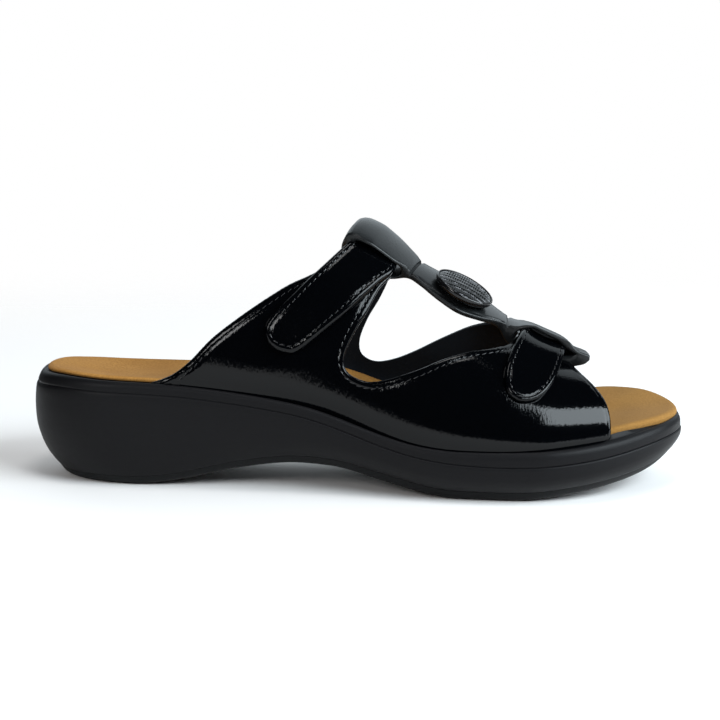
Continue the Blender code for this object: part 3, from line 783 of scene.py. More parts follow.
def cut_panel(patterns, edge_steps, thickness):
    """Flat panel with turned edges: its top lies at 0, its underside a thickness below."""
    foot_lines = [(-TUCK * FLAT_PER_DEGREE, -1), ((180 + TUCK) * FLAT_PER_DEGREE, 1)]
    bm = bmesh.new()
    drop = sum(rise for width, rise in edge_steps)
    for pattern in patterns:
        bm.faces.new([bm.verts.new((x, turn, -drop)) for x, turn in pattern])
    bmesh.ops.remove_doubles(bm, verts=bm.verts[:], dist=MERGE_DISTANCE)
    face_up(bm)
    rounded_in(bm, bm.faces[:], edge_steps)
    for line, outward in foot_lines:
        cut = {"plane_co": (0, line, 0), "plane_no": (0, outward, 0), "clear_outer": True}
        bmesh.ops.bisect_plane(bm, geom=whole(bm), dist=MERGE_DISTANCE, **cut)
    spread = places(bm)
    grid_cut(bm, 0, steps_between(GRID_X, spread[:, 0]))
    grid_cut(bm, 1, steps_between(GRID_DEGREES * FLAT_PER_DEGREE, spread[:, 1]))
    extruded = bmesh.ops.extrude_face_region(bm, geom=bm.faces[:])["geom"]
    for vert in points_of(extruded):
        vert.co.z = -thickness
    bmesh.ops.recalc_face_normals(bm, faces=bm.faces[:])
    return bm


def laid(bm, height):
    """Lays a flat panel over the crown, its top at a height that may change with place and turn."""
    x, turn, rise = places(bm).T
    degrees = turn / FLAT_PER_DEGREE
    return moved(bm, over_crown(x, degrees, rise + height(x, degrees)))


print("a turned edge is", round(sum(width for width, rise in TURNED_EDGE), 2), "mm wide")

# %% [markdown]
# ## Stitches
# A lockstitch shows as a row of short threads, each sunk a little into the leather and slanted a little to
# the row. One stretched ball with a few dozen faces is enough for a stitch. The row is measured along the
# bent leather, not on the flat pattern, so that the stitches keep their length everywhere. They could be a
# bump in the finish, but real threads catch the light one by one.

# %% Stitches
STITCH_PITCH, STITCH_SLANT = 2.9, 0.16
STITCH_LENGTH, STITCH_WIDTH, STITCH_DEPTH = 2.3, 0.5, 0.42
STITCH_FACES = {"u_segments": 7, "v_segments": 5}


def sew(bm, line, normals):
    """Adds a row of stitches along a line of points, standing on the given normals."""
    length = np.concatenate([[0], np.cumsum(np.linalg.norm(np.diff(line, axis=0), axis=1))])
    count = int(length[-1] / STITCH_PITCH)
    for middle in (np.arange(count) + 0.5) * length[-1] / max(1, count):
        ends = [middle - STITCH_LENGTH / 2, middle + STITCH_LENGTH / 2]
        start, end = (Vector([np.interp(at, length, axis) for axis in line.T]) for at in ends)
        up = Vector([np.interp(middle, length, axis) for axis in normals.T]).normalized()
        forward = (end - start).normalized()
        across = up.cross(forward).normalized()
        forward = (forward + STITCH_SLANT * across).normalized()
        across = up.cross(forward)
        turn = Matrix((forward, across, up)).transposed()
        size = Matrix.Diagonal((STITCH_LENGTH / 2, STITCH_WIDTH / 2, STITCH_DEPTH / 2))
        place = Matrix.Translation((start + end) / 2) @ (turn @ size).to_4x4()
        bmesh.ops.create_uvsphere(bm, radius=1.0, matrix=place, **STITCH_FACES)


print("stitches: one every", STITCH_PITCH, "mm")

# %% [markdown]
# ## Rows of stitches
# A row of stitches keeps its distance from the edge, in the middle of the channel that is pressed there. The
# flat edge is moved inwards by that distance and laid over the crown as the leather is. The row could be
# picked from the panel's own edges, but the grid has cut those into pieces.

# %% Stitch rows
STITCH_HEIGHT, CHANNEL_STEP = -0.02, 4


def channel(edge_steps):
    """Distance of the stitch channel's middle from the edge."""
    return sum(width for width, rise in edge_steps[:CHANNEL_STEP]) + edge_steps[CHANNEL_STEP][0] / 2


def pulled_in(path, distance):
    """Path moved to its left side by a distance."""
    points = np.array(path, float)
    ahead, behind = np.roll(points, -1, axis=0), np.roll(points, 1, axis=0)
    ahead[-1], behind[0] = points[-1], points[0]
    tangent = ahead - behind
    tangent /= np.linalg.norm(tangent, axis=1, keepdims=True)
    return points + distance * np.stack([-tangent[:, 1], tangent[:, 0]], axis=1)


def sew_flat(bm, path, height):
    """Stitches along a path of the flat pattern, at a height over the crown."""
    x, turn = np.array(path, float).T
    degrees = turn / FLAT_PER_DEGREE
    lift = height(x, degrees) + STITCH_HEIGHT
    sew(bm, over_crown(x, degrees, lift), crown_normal(x, degrees))


print("stitch rows lie", round(channel(TURNED_EDGE), 2), "mm inside a turned edge")

# %% [markdown]
# ## Edges of the upper
# The upper is one wall of patent: two quarters that meet in a band over the instep and in another over the
# forefoot, with a window between the bands on each side. Its edges are short rows of places and heights,
# as seen from the side, because that is how a shoe is drawn. Its foot runs on below the rim and is cut off
# there, tucked down behind the bead, as a lasted upper is.

# %% Edges of the upper
# Edges seen from the side: x, height
COLLAR = {
    "lateral": [
        (-76.0, 43.9), (-70.6, 46.7), (-64.0, 52.3), (-56.0, 60.9), (-46.5, 68.6), (-37.0, 75.4),
        (-27.0, 81.8), (-14.0, 88.0), (-3.6, 94.2),
    ],
    "medial": [(-56.0, 52.0), (-47.0, 60.0), (-36.0, 67.0), (-25.0, 73.0), (-14.0, 79.5), (-4.0, 86.5)],
}
WINDOW = {
    "lateral": [
        (14.8, 85.4), (9.8, 80.6), (5.1, 72.1), (1.0, 65.4), (-2.0, 59.3), (-3.6, 53.7), (-2.3, 49.8),
        (1.5, 47.2), (7.4, 46.0), (15.8, 47.8), (26.7, 51.6), (36.2, 55.4), (45.4, 57.6), (55.0, 58.4),
        (61.6, 59.2),
    ],
    "medial": [
        (12.0, 80.5), (7.8, 70.1), (2.1, 59.7), (-1.1, 51.1), (-0.8, 45.2), (2.6, 41.9), (8.0, 41.0),
        (17.3, 43.4), (29.7, 49.3), (40.5, 54.7), (52.0, 59.0), (60.5, 60.2),
    ],
}
FRONT = {
    "lateral": [(88.5, 48.8), (95.3, 43.9), (99.8, 38.4), (101.7, 32.0)],
    "medial": [(84.0, 47.5), (88.0, 41.0), (90.5, 33.0)],
}
# Where the edges meet the sole and cross the ridge: x
COLLAR_FOOT = {"lateral": -80.5, "medial": -62.0}
FRONT_FOOT = {"lateral": 102.0, "medial": 91.5}
RIDGE_COLLAR, RIDGE_WINDOW_REAR, RIDGE_WINDOW_FRONT, RIDGE_FRONT = 0.9, 15.8, 65.5, 81.2
# How far a pattern runs on below its foot, and how far lengthwise as a share of that
SPARE, COLLAR_SLANT, FRONT_SLANT = 18.0, 0.6, 0.05


def upper_edges(side):
    """Collar, window and toe edge of one half as flat paths from the foot over the ridge and back."""
    medial = side == "medial"
    ridge, low = 90 * FLAT_PER_DEGREE, (180 if medial else 0) * FLAT_PER_DEGREE
    spare = low + SPARE if medial else low - SPARE
    collar_foot, front_foot = COLLAR_FOOT[side], FRONT_FOOT[side]
    collar_marks = [(collar_foot, low), *flat_side(COLLAR[side], medial), (RIDGE_COLLAR, ridge)]
    collar = [(collar_foot - COLLAR_SLANT * SPARE, spare)] + smooth_path(collar_marks)
    window_marks = flat_side(WINDOW[side], medial)
    window = smooth_path([(RIDGE_WINDOW_REAR, ridge), *window_marks, (RIDGE_WINDOW_FRONT, ridge)])
    front = smooth_path([(RIDGE_FRONT, ridge), *flat_side(FRONT[side], medial), (front_foot, low)])
    return collar, window, front + [(front_foot + FRONT_SLANT * SPARE, spare)]


upper_paths = {side: upper_edges(side) for side in ("lateral", "medial")}
upper_patterns = [sum(paths, []) for paths in upper_paths.values()]
print("points on the two half patterns:", [len(pattern) for pattern in upper_patterns])

# %% [markdown]
# ## The upper
# Pulled over the last, the leather isn't even. It rolls in at the collar, at the toe edge and at its foot,
# and it creases where the straps pull and where the forefoot bends. The creases are listed one by one as soft
# troughs and ridges, since noise would put them where no foot bends. All of it is a height, added while the
# panel is laid.

# %% Upper
UPPER_WALL, LEATHER = 2.0, 1.45
# Edges that roll in: number of the path, roll, how far in that starts
EDGE_ROLLS = [(0, 0.9, 3.4), (2, 0.45, 2.4)]
FOOT_REACH = 5.0
# How far the foot of the upper rolls in: x, roll
FOOT_ROWS = [
    (-80.0, 0.7), (-46.0, 1.2), (-12.0, 1.9), (26.0, 1.0), (62.0, 0.7), (82.0, 0.35), (102.0, 0.2),
]
# Creases: x, degrees, half length, half width, direction in degrees, depth (below 0 a ridge)
CREASES = [
    (-20.0, 24.0, 22.0, 3.5, 18.0, 0.25),
    (-12.0, 17.0, 20.0, 3.0, 14.0, -0.18),
    (6.0, 26.0, 10.0, 3.0, -35.0, 0.22),
    (20.0, 158.0, 16.0, 3.5, 10.0, 0.25),
    (56.0, 150.0, 14.0, 3.5, 60.0, 0.25),
]


def upper_height(x, degrees):
    """How far the rolled-in edges and the hand-placed creases sink the leather."""
    flat = np.stack([x, degrees * FLAT_PER_DEGREE], axis=1)
    height = np.zeros_like(x)
    for edge, roll, reach in EDGE_ROLLS:
        line = np.concatenate([paths[edge] for paths in upper_paths.values()])
        near = np.min(np.linalg.norm(flat[:, None] - line[None], axis=2), axis=1)
        height -= roll * np.clip(1 - near / reach, 0, 1) ** 2
    above_foot = np.minimum(degrees, 180 - degrees) * FLAT_PER_DEGREE
    height -= along(FOOT_ROWS, x) * np.clip(1 - above_foot / FOOT_REACH, 0, 1) ** 2
    for at, turn, length, width, direction, depth in CREASES:
        dx, dy = x - at, (degrees - turn) * FLAT_PER_DEGREE
        c, s = math.cos(math.radians(direction)), math.sin(math.radians(direction))
        along_crease, across_crease = (c * dx + s * dy) / length, (c * dy - s * dx) / width
        height -= depth * np.exp(-(along_crease**2) - across_crease**2)
    return height


upper = laid(cut_panel(upper_patterns, TURNED_EDGE, LEATHER), upper_height)
kept("upper", upper, patent.material, "upper")

# %% [markdown]
# ## The lining
# Inside the patent lies a thin matt lining, cut from the same pattern. It shows on the far quarter through
# the open window. It could be a second material on the upper's inner faces, but a lining is a layer of its
# own, so it gets its own thickness and its own edge.

# %% Lining
LINING_EDGE, GLUE = [(0.12, 0.15)], 0.04
LINING_TOP = -(LEATHER + GLUE)
lining_panel = cut_panel(upper_patterns, LINING_EDGE, UPPER_WALL + LINING_TOP)


def lining_height(x, degrees):
    """The lining follows the leather, a wall below it."""
    return LINING_TOP + upper_height(x, degrees)


kept("upper_lining", laid(lining_panel, lining_height), lining.material)

# %% [markdown]
# ## Stitching on the upper
# One row of stitches follows the collar and the windows, in the channel that was pressed into the flat
# pattern. The toe edge is only turned under and glued. A modifier could repeat one stitch along a curve, but
# it would bend every stitch with the curve, and thread pulled tight stays straight. The rows start a little
# above the foot, because the stitches below it are never seen.

# %% Upper stitches
FIRST_STITCH = 1.0
upper_stitches = bmesh.new()
for side, (collar, window, front) in upper_paths.items():
    inward = channel(TURNED_EDGE) if side == "medial" else -channel(TURNED_EDGE)
    for path in (collar, window):
        row = pulled_in(path, inward)
        above_foot = np.minimum(row[:, 1] / FLAT_PER_DEGREE, 180 - row[:, 1] / FLAT_PER_DEGREE)
        sew_flat(upper_stitches, row[above_foot > FIRST_STITCH], upper_height)
kept("upper_stitches", upper_stitches, thread.material)

# %% [markdown]
# ## Shapes of the straps
# Each strap is sewn down on the medial side, comes through its loop and is pressed down on the lateral
# side, where it ends in a round tab. The tab is seen from the side, so its outline is given in heights; the
# rest lies over the top of the foot, where a height says little, so it is given in degrees.

# %% Shapes of the straps
# Lateral outline: x, height. Medial outline: x, degrees.
# Swell over the loop: rise, its place and reach in degrees, its end in x
INSTEP_STRAP = {
    "lateral": [
        (-0.4, 96.4), (-4.0, 94.4), (-12.0, 88.8), (-22.4, 79.5), (-31.5, 70.6), (-34.2, 65.8),
        (-32.8, 60.0), (-27.0, 56.6), (-19.8, 58.0), (-4.5, 70.0), (8.3, 80.5), (14.6, 85.0),
    ],
    "medial": [
        (15.4, 95.0), (13.6, 112.0), (10.6, 123.0), (4.6, 128.0), (-0.5, 123.0), (-0.2, 110.0), (0.8, 96.0),
    ],
    "lift": 0.3,
    "twist": 0.05,
    "swell": (3.0, 72.0, 12.0, 16.0),
}
FOREFOOT_STRAP = {
    "lateral": [
        (64.6, 59.8), (61.6, 56.4), (59.4, 50.6), (59.8, 45.4), (62.4, 41.2), (67.4, 39.4), (73.4, 40.8),
        (78.4, 45.4), (81.2, 49.8),
    ],
    "medial": [(84.0, 95.0), (81.5, 112.0), (76.6, 122.0), (70.0, 123.0), (63.6, 114.0), (63.4, 97.0)],
    "lift": 0.1,
    "twist": 0.0,
    "swell": (3.0, 74.0, 15.0, 120.0),
}
STRAPS = {"instep_strap": INSTEP_STRAP, "forefoot_strap": FOREFOOT_STRAP}
print("marks on the straps:", [len(strap["lateral"] + strap["medial"]) for strap in STRAPS.values()])

# %% [markdown]
# ## Laying the straps
# A strap is a double layer, so it is thicker than the upper and its edge is rounder. It lies close on the
# upper, lifts and swells where it passes through its loop, and the instep strap stands up a little along its
# front edge. It could be shrink-wrapped on the upper, but that would press it flat just where it lifts.

# %% Straps
STRAP_THICKNESS = 2.2
STRAP_EDGE = [
    (0.20, 0.45), (0.35, 0.40), (0.55, 0.20), (0.50, -0.14), (0.35, 0.0), (0.50, 0.16), (0.7, 0.0),
]
# Turn in degrees where the lift starts and ends, and over how many degrees it grows
LIFT_FROM, LIFT_TO, LIFT_EASE = 50.0, 125.0, 25.0
# Middle of the instep strap in x and degrees, direction across it, half width, end of the twist in degrees
TWIST_X, TWIST_DEGREES = -10.0, 58.8
ACROSS_X, ACROSS_TURN = 0.84, -0.54
TWIST_HALF, TWIST_END, TWIST_EASE = 11.0, 88.0, 15.0
SWELL_EASE = 14.0


def strap_top(lift, twist, swell):
    """Height of a strap's top face over the upper, as a function of place and turn."""
    rise, swell_at, swell_reach, swell_end = swell

    def height(x, degrees):
        reach = np.where(degrees <= 90, degrees - LIFT_FROM, LIFT_TO - degrees)
        share = np.clip(reach / LIFT_EASE, 0, 1)
        across = ACROSS_X * (x - TWIST_X) + ACROSS_TURN * FLAT_PER_DEGREE * (degrees - TWIST_DEGREES)
        twisted = twist * np.clip(across + TWIST_HALF, 0, None)
        twisted *= np.clip((TWIST_END - degrees) / TWIST_EASE, 0, 1)
        swollen = rise * np.exp(-(((degrees - swell_at) / swell_reach) ** 2))
        swollen *= np.clip((swell_end - x) / SWELL_EASE, 0, 1)
        return GAP + lift * share * share * (3 - 2 * share) + twisted + swollen + STRAP_THICKNESS

    return height


strap_stitches = bmesh.new()
for name, strap in STRAPS.items():
    outline = smooth_path(flat_side(strap["lateral"], False) + flat_turn(strap["medial"]), closed=True)
    top = strap_top(strap["lift"], strap["twist"], strap["swell"])
    kept(name, laid(cut_panel([outline], STRAP_EDGE, STRAP_THICKNESS), top), patent.material, name)
    sew_flat(strap_stitches, pulled_in(outline + outline[:1], channel(STRAP_EDGE)), top)
kept("strap_stitches", strap_stitches, thread.material)

# %% [markdown]
# ## Profile of the bridge
# The bridge is the soft leather bar along the instep, with a loop at each end for a strap. Seen from the
# side it is an outline with two holes, so it is drawn that way, as heights over the upper. Cutting the loops
# out of a solid bar would need Booleans, and their thin slivers show in a soft leather.

# %% Profile of the bridge
# Side profile and the two openings: x, height over the upper
BRIDGE_PROFILE = [
    (40.0, 2.4), (24.0, 2.4), (19.5, 3.7), (13.0, 5.0), (6.0, 5.8), (1.6, 5.9), (-1.9, 5.4), (-4.2, 3.9),
    (-4.7, 1.4), (-3.8, -1.8), (-1.2, -4.2), (3.0, -4.7), (12.0, -4.6), (18.0, -3.2), (22.0, -0.9),
    (27.0, 0.0), (40.0, 0.0), (52.0, 0.0), (57.0, -0.9), (61.0, -3.6), (66.5, -4.9), (75.0, -4.9),
    (79.0, -4.5), (82.5, -3.3), (85.5, -1.7), (88.4, -0.4), (90.8, 0.4), (92.2, 1.2), (91.8, 2.2),
    (89.0, 2.5), (85.0, 2.9), (80.4, 4.8), (75.0, 5.3), (69.0, 5.1), (64.6, 4.2), (61.4, 2.7), (56.0, 2.4),
]
INSTEP_LOOP = [
    (-1.6, 1.4), (-0.4, 3.5), (2.8, 4.3), (7.0, 4.3), (13.0, 3.6), (17.4, 2.7), (19.2, 0.6), (17.4, -1.9),
    (12.0, -2.6), (5.0, -2.7), (0.4, -2.5), (-1.3, -1.2),
]
FOREFOOT_LOOP = [
    (62.9, 0.6), (63.8, 2.4), (67.0, 3.6), (72.0, 3.8), (78.4, 3.4), (81.8, 2.4), (84.8, 1.8), (83.8, 1.2),
    (81.4, 0.6), (78.4, -0.4), (73.0, -2.0), (68.0, -2.8), (64.4, -2.5), (63.1, -1.2),
]
print("bridge runs from", min(BRIDGE_PROFILE)[0], "to", max(BRIDGE_PROFILE)[0], "mm along the foot")

# %% [markdown]
# ## Bending the bridge
# A straight bar with that profile would be a plank. The real bridge narrows at its two seams, widens under
# the button, leans to the lateral side, lifts the near edges of its loops and draws its nose aside. Troughs
# across it are the seams where the loops are sewn on, and a channel inside each edge takes the stitches. One
# function moves the bar's points for all of that, where sculpting could not be done twice the same way.

# %% Bending the bridge
BRIDGE_CENTRE_Y, BRIDGE_SKEW, SKEW_FROM, SKEW_EASE = -1.5, 1.9, 34.0, 10.0
MIDDLE_X = 41.0
# Each loop: x where it starts, over how much x it grows, lift of its lateral and its medial edge
REAR_LOOP, FRONT_LOOP = (23.0, -18.0, 3.9, 3.0), (59.0, 8.0, 3.6, 0.2)
LOOP_HEIGHT = 4.0
NOSE_FLARE, NOSE_FROM, NOSE_EASE, NOSE_TO, NOSE_FADE = 1.8, 78.0, 7.0, 93.6, 6.0
BRIDGE_SEAMS, SEAM_DEPTH, SEAM_WIDTH = (22.6, 59.4), 0.85, 0.45
EDGE_ROW, ROW_DEPTH, ROW_WIDTH, ROW_FROM, ROW_TO = 0.86, 0.5, 0.05, 24.0, 58.0
TOP_FACE_FROM = 1.0
# x, half width
BRIDGE_WIDTH_ROWS = [
    (-8.0, 7.6), (2.0, 9.2), (12.0, 9.0), (20.0, 7.2), (25.0, 9.0), (32.0, 12.0), (40.0, 13.6), (49.0, 11.6),
    (59.0, 6.6), (64.0, 7.4), (71.0, 8.8), (80.0, 9.0), (88.0, 8.6), (96.0, 7.0),
]


def bridge_place(x, across, height):
    """Points of the bridge: across runs from -1 at its lateral edge to 1 at its medial edge."""
    front = x > MIDDLE_X
    start, ease, near, far = (np.where(front, *pair) for pair in zip(FRONT_LOOP, REAR_LOOP))
    loop = np.clip((x - start) / ease, 0, 1)
    lift = (near * (1 - across) + far * (1 + across)) / 2
    seams = sum(np.exp(-(((x - seam) / SEAM_WIDTH) ** 2)) for seam in BRIDGE_SEAMS)
    x = x + BRIDGE_SKEW * across * np.clip((SKEW_FROM - x) / SKEW_EASE, 0, 1)
    y = BRIDGE_CENTRE_Y + across * along(BRIDGE_WIDTH_ROWS, x)
    nose = np.clip(np.minimum((x - NOSE_FROM) / NOSE_EASE, (NOSE_TO - x) / NOSE_FADE), 0, 1)
    x = x - NOSE_FLARE * across * nose
    upward = np.clip(height, 0, None)
    height = height + lift * loop * np.clip(upward / LOOP_HEIGHT, 0, 1)
    row = np.exp(-(((np.abs(across) - EDGE_ROW) / ROW_WIDTH) ** 2)) * ((x > ROW_FROM) & (x < ROW_TO))
    height = height - (SEAM_DEPTH * seams + ROW_DEPTH * row) * (upward > TOP_FACE_FROM)
    return over_crown(x, degrees_at_y(x, y), height)


print("seams at", *BRIDGE_SEAMS, "mm along the foot")

# %% [markdown]
# ## The bridge
# Blender fills outlines with holes, so we fill the profile, round its edge by three insets, draw its rim out
# to the middle and mirror it. It is then cut across, more finely at the seams and the channels, so that it
# can follow them, and only then bent. It could be pulled out of a box face by face, but then a change of the
# profile would mean pulling it all again.

# %% Bridge
BRIDGE_HALF = 9.0
BRIDGE_ROUND = [(0.10, 0.40), (0.18, 0.30), (0.24, 0.12)]
FILL_ANGLE = 0.01
SEAM_CUTS = (-2, -1.2, -0.6, 0, 0.6, 1.2, 2)
ROW_CUTS = (-0.09, -0.05, -0.025, 0, 0.025, 0.05, 0.09)
LENGTHWISE_CUTS = np.linspace(-0.75, 0.75, 11)

bridge = bmesh.new()
for outline in (BRIDGE_PROFILE, INSTEP_LOOP, FOREFOOT_LOOP):
    corners = [bridge.verts.new((x, height, 0)) for x, height in smooth_path(outline, closed=True)]
    for pair in zip(corners, corners[1:] + corners[:1]):
        bridge.edges.new(pair)
bmesh.ops.triangle_fill(bridge, use_beauty=True, edges=bridge.edges[:], normal=(0, 0, 1))
bmesh.ops.dissolve_limit(bridge, angle_limit=FILL_ANGLE, verts=bridge.verts[:], edges=bridge.edges[:])
face_up(bridge)
rounding = sum(rise for width, rise in BRIDGE_ROUND)
bmesh.ops.translate(bridge, vec=(0, 0, BRIDGE_HALF - rounding), verts=bridge.verts[:])
rounded_in(bridge, bridge.faces[:], BRIDGE_ROUND)
rim = [edge for edge in bridge.edges if edge.is_boundary]
for vert in points_of(bmesh.ops.extrude_edge_only(bridge, edges=rim)["geom"]):
    vert.co.z = 0
bmesh.ops.mirror(bridge, geom=whole(bridge), axis="Z", merge_dist=MERGE_DISTANCE)
seam_cuts = [seam + SEAM_WIDTH * k for seam in BRIDGE_SEAMS for k in SEAM_CUTS]
row_cuts = [side * (EDGE_ROW + k) for side in (-1, 1) for k in ROW_CUTS]
grid_cut(bridge, 0, steps_between(GRID_X, places(bridge)[:, 0]) + seam_cuts)
grid_cut(bridge, 2, [BRIDGE_HALF * share for share in (*LENGTHWISE_CUTS, *row_cuts)])
bmesh.ops.recalc_face_normals(bridge, faces=bridge.faces[:])
side_x, side_height, side_across = places(bridge).T
moved(bridge, bridge_place(side_x, side_across / BRIDGE_HALF, side_height))
kept("bridge", bridge, nappa.material, "bridge")

# %% [markdown]
# ## Stitching on the bridge
# The middle part of the bridge has a stitched line just inside each edge, sunk into its channel. The same
# stitches serve as on the straps, laid on the bent bridge and not on a flat pattern.

# %% Bridge stitches
BRIDGE_TOP = 2.4
ROW_SINK, MEDIAL_ROW_SINK = 0.34, 0.44
ROW_MARGIN, ROW_POINTS = 1.5, 40

bridge_stitches = bmesh.new()
row_x = np.linspace(BRIDGE_SEAMS[0] + ROW_MARGIN, BRIDGE_SEAMS[1] - ROW_MARGIN, ROW_POINTS)
for edge, sink in ((-EDGE_ROW, ROW_SINK), (EDGE_ROW, MEDIAL_ROW_SINK)):
    row_across = np.full(ROW_POINTS, edge)
    row_y = BRIDGE_CENTRE_Y + row_across * along(BRIDGE_WIDTH_ROWS, row_x)
    row_line = bridge_place(row_x, row_across, np.full(ROW_POINTS, BRIDGE_TOP - sink))
    sew(bridge_stitches, row_line, crown_normal(row_x, degrees_at_y(row_x, row_y)))
kept("bridge_stitches", bridge_stitches, thread.material)

# %% [markdown]
# ## Finishes of the button
# The button is a shallow cup of glossy plastic with a woven-looking disc set into it. The disc is nearly
# black, with pale threads that run in rows and break off here and there. A wave gives the rows and a noise
# breaks them, which reads as woven from any side, where noise alone would read as dirt.

# %% Button finishes
# Pitch of the rows, and the period of a Wave node at scale 1
WEAVE_PITCH, WAVE_PERIOD = 2.9, 0.314

gloss = Finish("button_plastic", {"Base Color": (0.004, 0.004, 0.0045, 1), "Specular IOR Level": 0.4})
gloss.feeds("Roughness", 0.10 + 0.08 * gloss.noise(2.0))
woven = Finish("button_texture", {"Specular IOR Level": 0.2})
woven_waves = {"Vector": woven.place(), "Scale": WAVE_PERIOD / (WEAVE_PITCH * MM)}
woven_lines = woven.node("ShaderNodeTexWave", {"bands_direction": "Y"}, woven_waves, 1)
woven_breaks = woven.between(woven.noise(1.1, stretch=(0.35, 1.0, 1.0)), 0.42, 0.60)
woven_threads = woven.between(woven_lines, 0.80, 0.97) * woven_breaks
woven.feeds("Base Color", woven.mixed(woven_threads, (0.0025, 0.0027, 0.0030, 1), (0.16, 0.16, 0.17, 1)))
woven.feeds("Roughness", 0.10 + 0.12 * woven.noise(0.6))
woven.relief(0.02 * woven.noise(0.25))
print("finishes:", gloss.material.name, woven.material.name)

# %% [markdown]
# ## The button's cup
# The cup is a turned shape, so its profile is spun round once. It stands on the bridge, a little tipped
# forward. A cylinder with a bevel would be quicker, but its rim would be a plain arc, and in a gloss the
# profile of a rim is most of what shows.

# %% Button cup
BUTTON_X, BUTTON_Y, BUTTON_TILT_Y, BUTTON_PITCH = 40.4, -4.0, -1.0, 2.5
BUTTON_RADIUS, BUTTON_HEIGHT = 12.5, 3.4
BUTTON_RIM, BUTTON_WELL, TURN_STEPS = 0.7, 1.3, 72
WELL_Z = BUTTON_HEIGHT - BUTTON_WELL
# From the middle of the well over the rim to the middle of the foot: inset from the edge, height
CUP_ROWS = [
    (BUTTON_RADIUS, WELL_Z), (BUTTON_RIM, WELL_Z), (BUTTON_RIM, 3.2), (0.58, 3.35), (0.4, BUTTON_HEIGHT),
    (0.18, 3.24), (0.04, 2.8), (0.0, 2.1), (0.3, 1.4), (1.0, 0.6), (2.2, 0.0), (BUTTON_RADIUS, 0.0),
]


def set_on_bridge(bm):
    """Moves a turned shape from the origin to the button's place on the bridge."""
    at = np.array([BUTTON_X])
    degrees = degrees_at_y(at, np.array([BUTTON_Y]))
    normal = Vector(crown_normal(at, degrees_at_y(at, np.array([BUTTON_TILT_Y])))[0])
    foot = Vector(over_crown(at, degrees, np.array([BRIDGE_TOP + GAP]))[0])
    forward = (Vector((1, 0, 0)) - normal * normal.x).normalized()
    turn = Matrix((forward, normal.cross(forward), normal)).transposed()
    turn = turn @ Matrix.Rotation(math.radians(-BUTTON_PITCH), 3, "Y")
    bmesh.ops.rotate(bm, cent=(0, 0, 0), matrix=turn, verts=bm.verts[:])
    bmesh.ops.translate(bm, vec=foot, verts=bm.verts[:])
    return bm


cup = bmesh.new()
corners = [cup.verts.new((BUTTON_RADIUS - inset, 0, height)) for inset, height in CUP_ROWS]
profile = [cup.edges.new(pair) for pair in zip(corners, corners[1:])]
turned = {"cent": (0, 0, 0), "axis": (0, 0, 1), "angle": math.tau, "steps": TURN_STEPS, "use_merge": True}
bmesh.ops.spin(cup, geom=corners + profile, **turned)
bmesh.ops.remove_doubles(cup, verts=cup.verts[:], dist=MERGE_DISTANCE)
bmesh.ops.recalc_face_normals(cup, faces=cup.faces[:])
kept("button_cup", set_on_bridge(cup), gloss.material, "button_cup")

# %% [markdown]
# ## The button's disc
# The disc is a low dome. Its weave is real relief on a small grid: ribs in bands, each band set off by half
# a rib from the last, with a thin line between bands. It breaks the light into points, which a bump on a
# smooth disc would not do at the dome's edge.

# %% Button disc
DISC_RADIUS = BUTTON_RADIUS - BUTTON_RIM - GAP
DISC_SINK, DISC_CROWN, DOME_POWER = 0.3, 1.5, 2.5
DISC_FLOOR, DISC_EDGE = WELL_Z + GAP, BUTTON_HEIGHT - DISC_SINK
RIB_PITCH, RIB_DEPTH, RIB_FADE = 1.0, 0.34, 6.0
BAND_WIDTH, BAND_LINE = 3.4, 0.30
CIRCLE_SEGMENTS = 96

disc = bmesh.new()
bmesh.ops.create_circle(disc, cap_ends=True, radius=DISC_RADIUS, segments=CIRCLE_SEGMENTS)
grid_cut(disc, 0, steps_between(RIB_PITCH / 4, (-DISC_RADIUS, DISC_RADIUS)))
grid_cut(disc, 1, steps_between(BAND_LINE, (-DISC_RADIUS, DISC_RADIUS)))
below = set(points_of(bmesh.ops.extrude_face_region(disc, geom=disc.faces[:])["geom"]))
for vert in disc.verts:
    share = min(1.0, vert.co.xy.length / DISC_RADIUS)
    band = vert.co.y / BAND_WIDTH
    ribs = math.cos(math.tau * (vert.co.x / RIB_PITCH + 0.5 * math.floor(band)))
    on_line = abs(band - round(band)) * BAND_WIDTH < BAND_LINE
    relief = RIB_DEPTH / 2 * (1.0 if on_line else ribs) * min(1.0, RIB_FADE * (1 - share))
    dome = DISC_EDGE + DISC_CROWN * (1 - share**DOME_POWER) + relief
    vert.co.z = DISC_FLOOR if vert in below else dome
bmesh.ops.recalc_face_normals(disc, faces=disc.faces[:])
kept("button_disc", set_on_bridge(disc), woven.material, "button_disc")

# %% [markdown]
# ## The floor
# The shoe stands on plain white paper that fades into a white surround. A sheet swept up into a wall would do
# that in a real studio; here the paper's edge just becomes see-through.

# %% Floor
FLOOR_RADIUS, FLOOR_FADE, FLOOR_MIDDLE, FLOOR_DROP = 1.15, 0.75, -0.62, 0.0003
floor_mesh = bmesh.new()
bmesh.ops.create_circle(floor_mesh, cap_ends=True, radius=FLOOR_RADIUS, segments=CIRCLE_SEGMENTS)
bmesh.ops.translate(floor_mesh, vec=(0, FLOOR_MIDDLE, -FLOOR_DROP), verts=floor_mesh.verts[:])
floor_data = bpy.data.meshes.new("floor")
floor_mesh.to_mesh(floor_data)
floor_mesh.free()
floor = bpy.data.objects.new("floor", floor_data)
bpy.context.scene.collection.objects.link(floor)
paper = Finish("floor_paper", {"Base Color": (0.92, 0.895, 0.88, 1), "Roughness": 0.9})
from_middle = paper.place(shift=(0, -FLOOR_MIDDLE, 0))
reach = paper.node("ShaderNodeVectorMath", {"operation": "LENGTH"}, {0: from_middle}, "Value")
paper.feeds("Alpha", 1 - paper.between(reach, FLOOR_FADE, FLOOR_RADIUS))
floor_data.materials.append(paper.material)
print("floor fades out over", round(FLOOR_RADIUS - FLOOR_FADE, 2), "m")

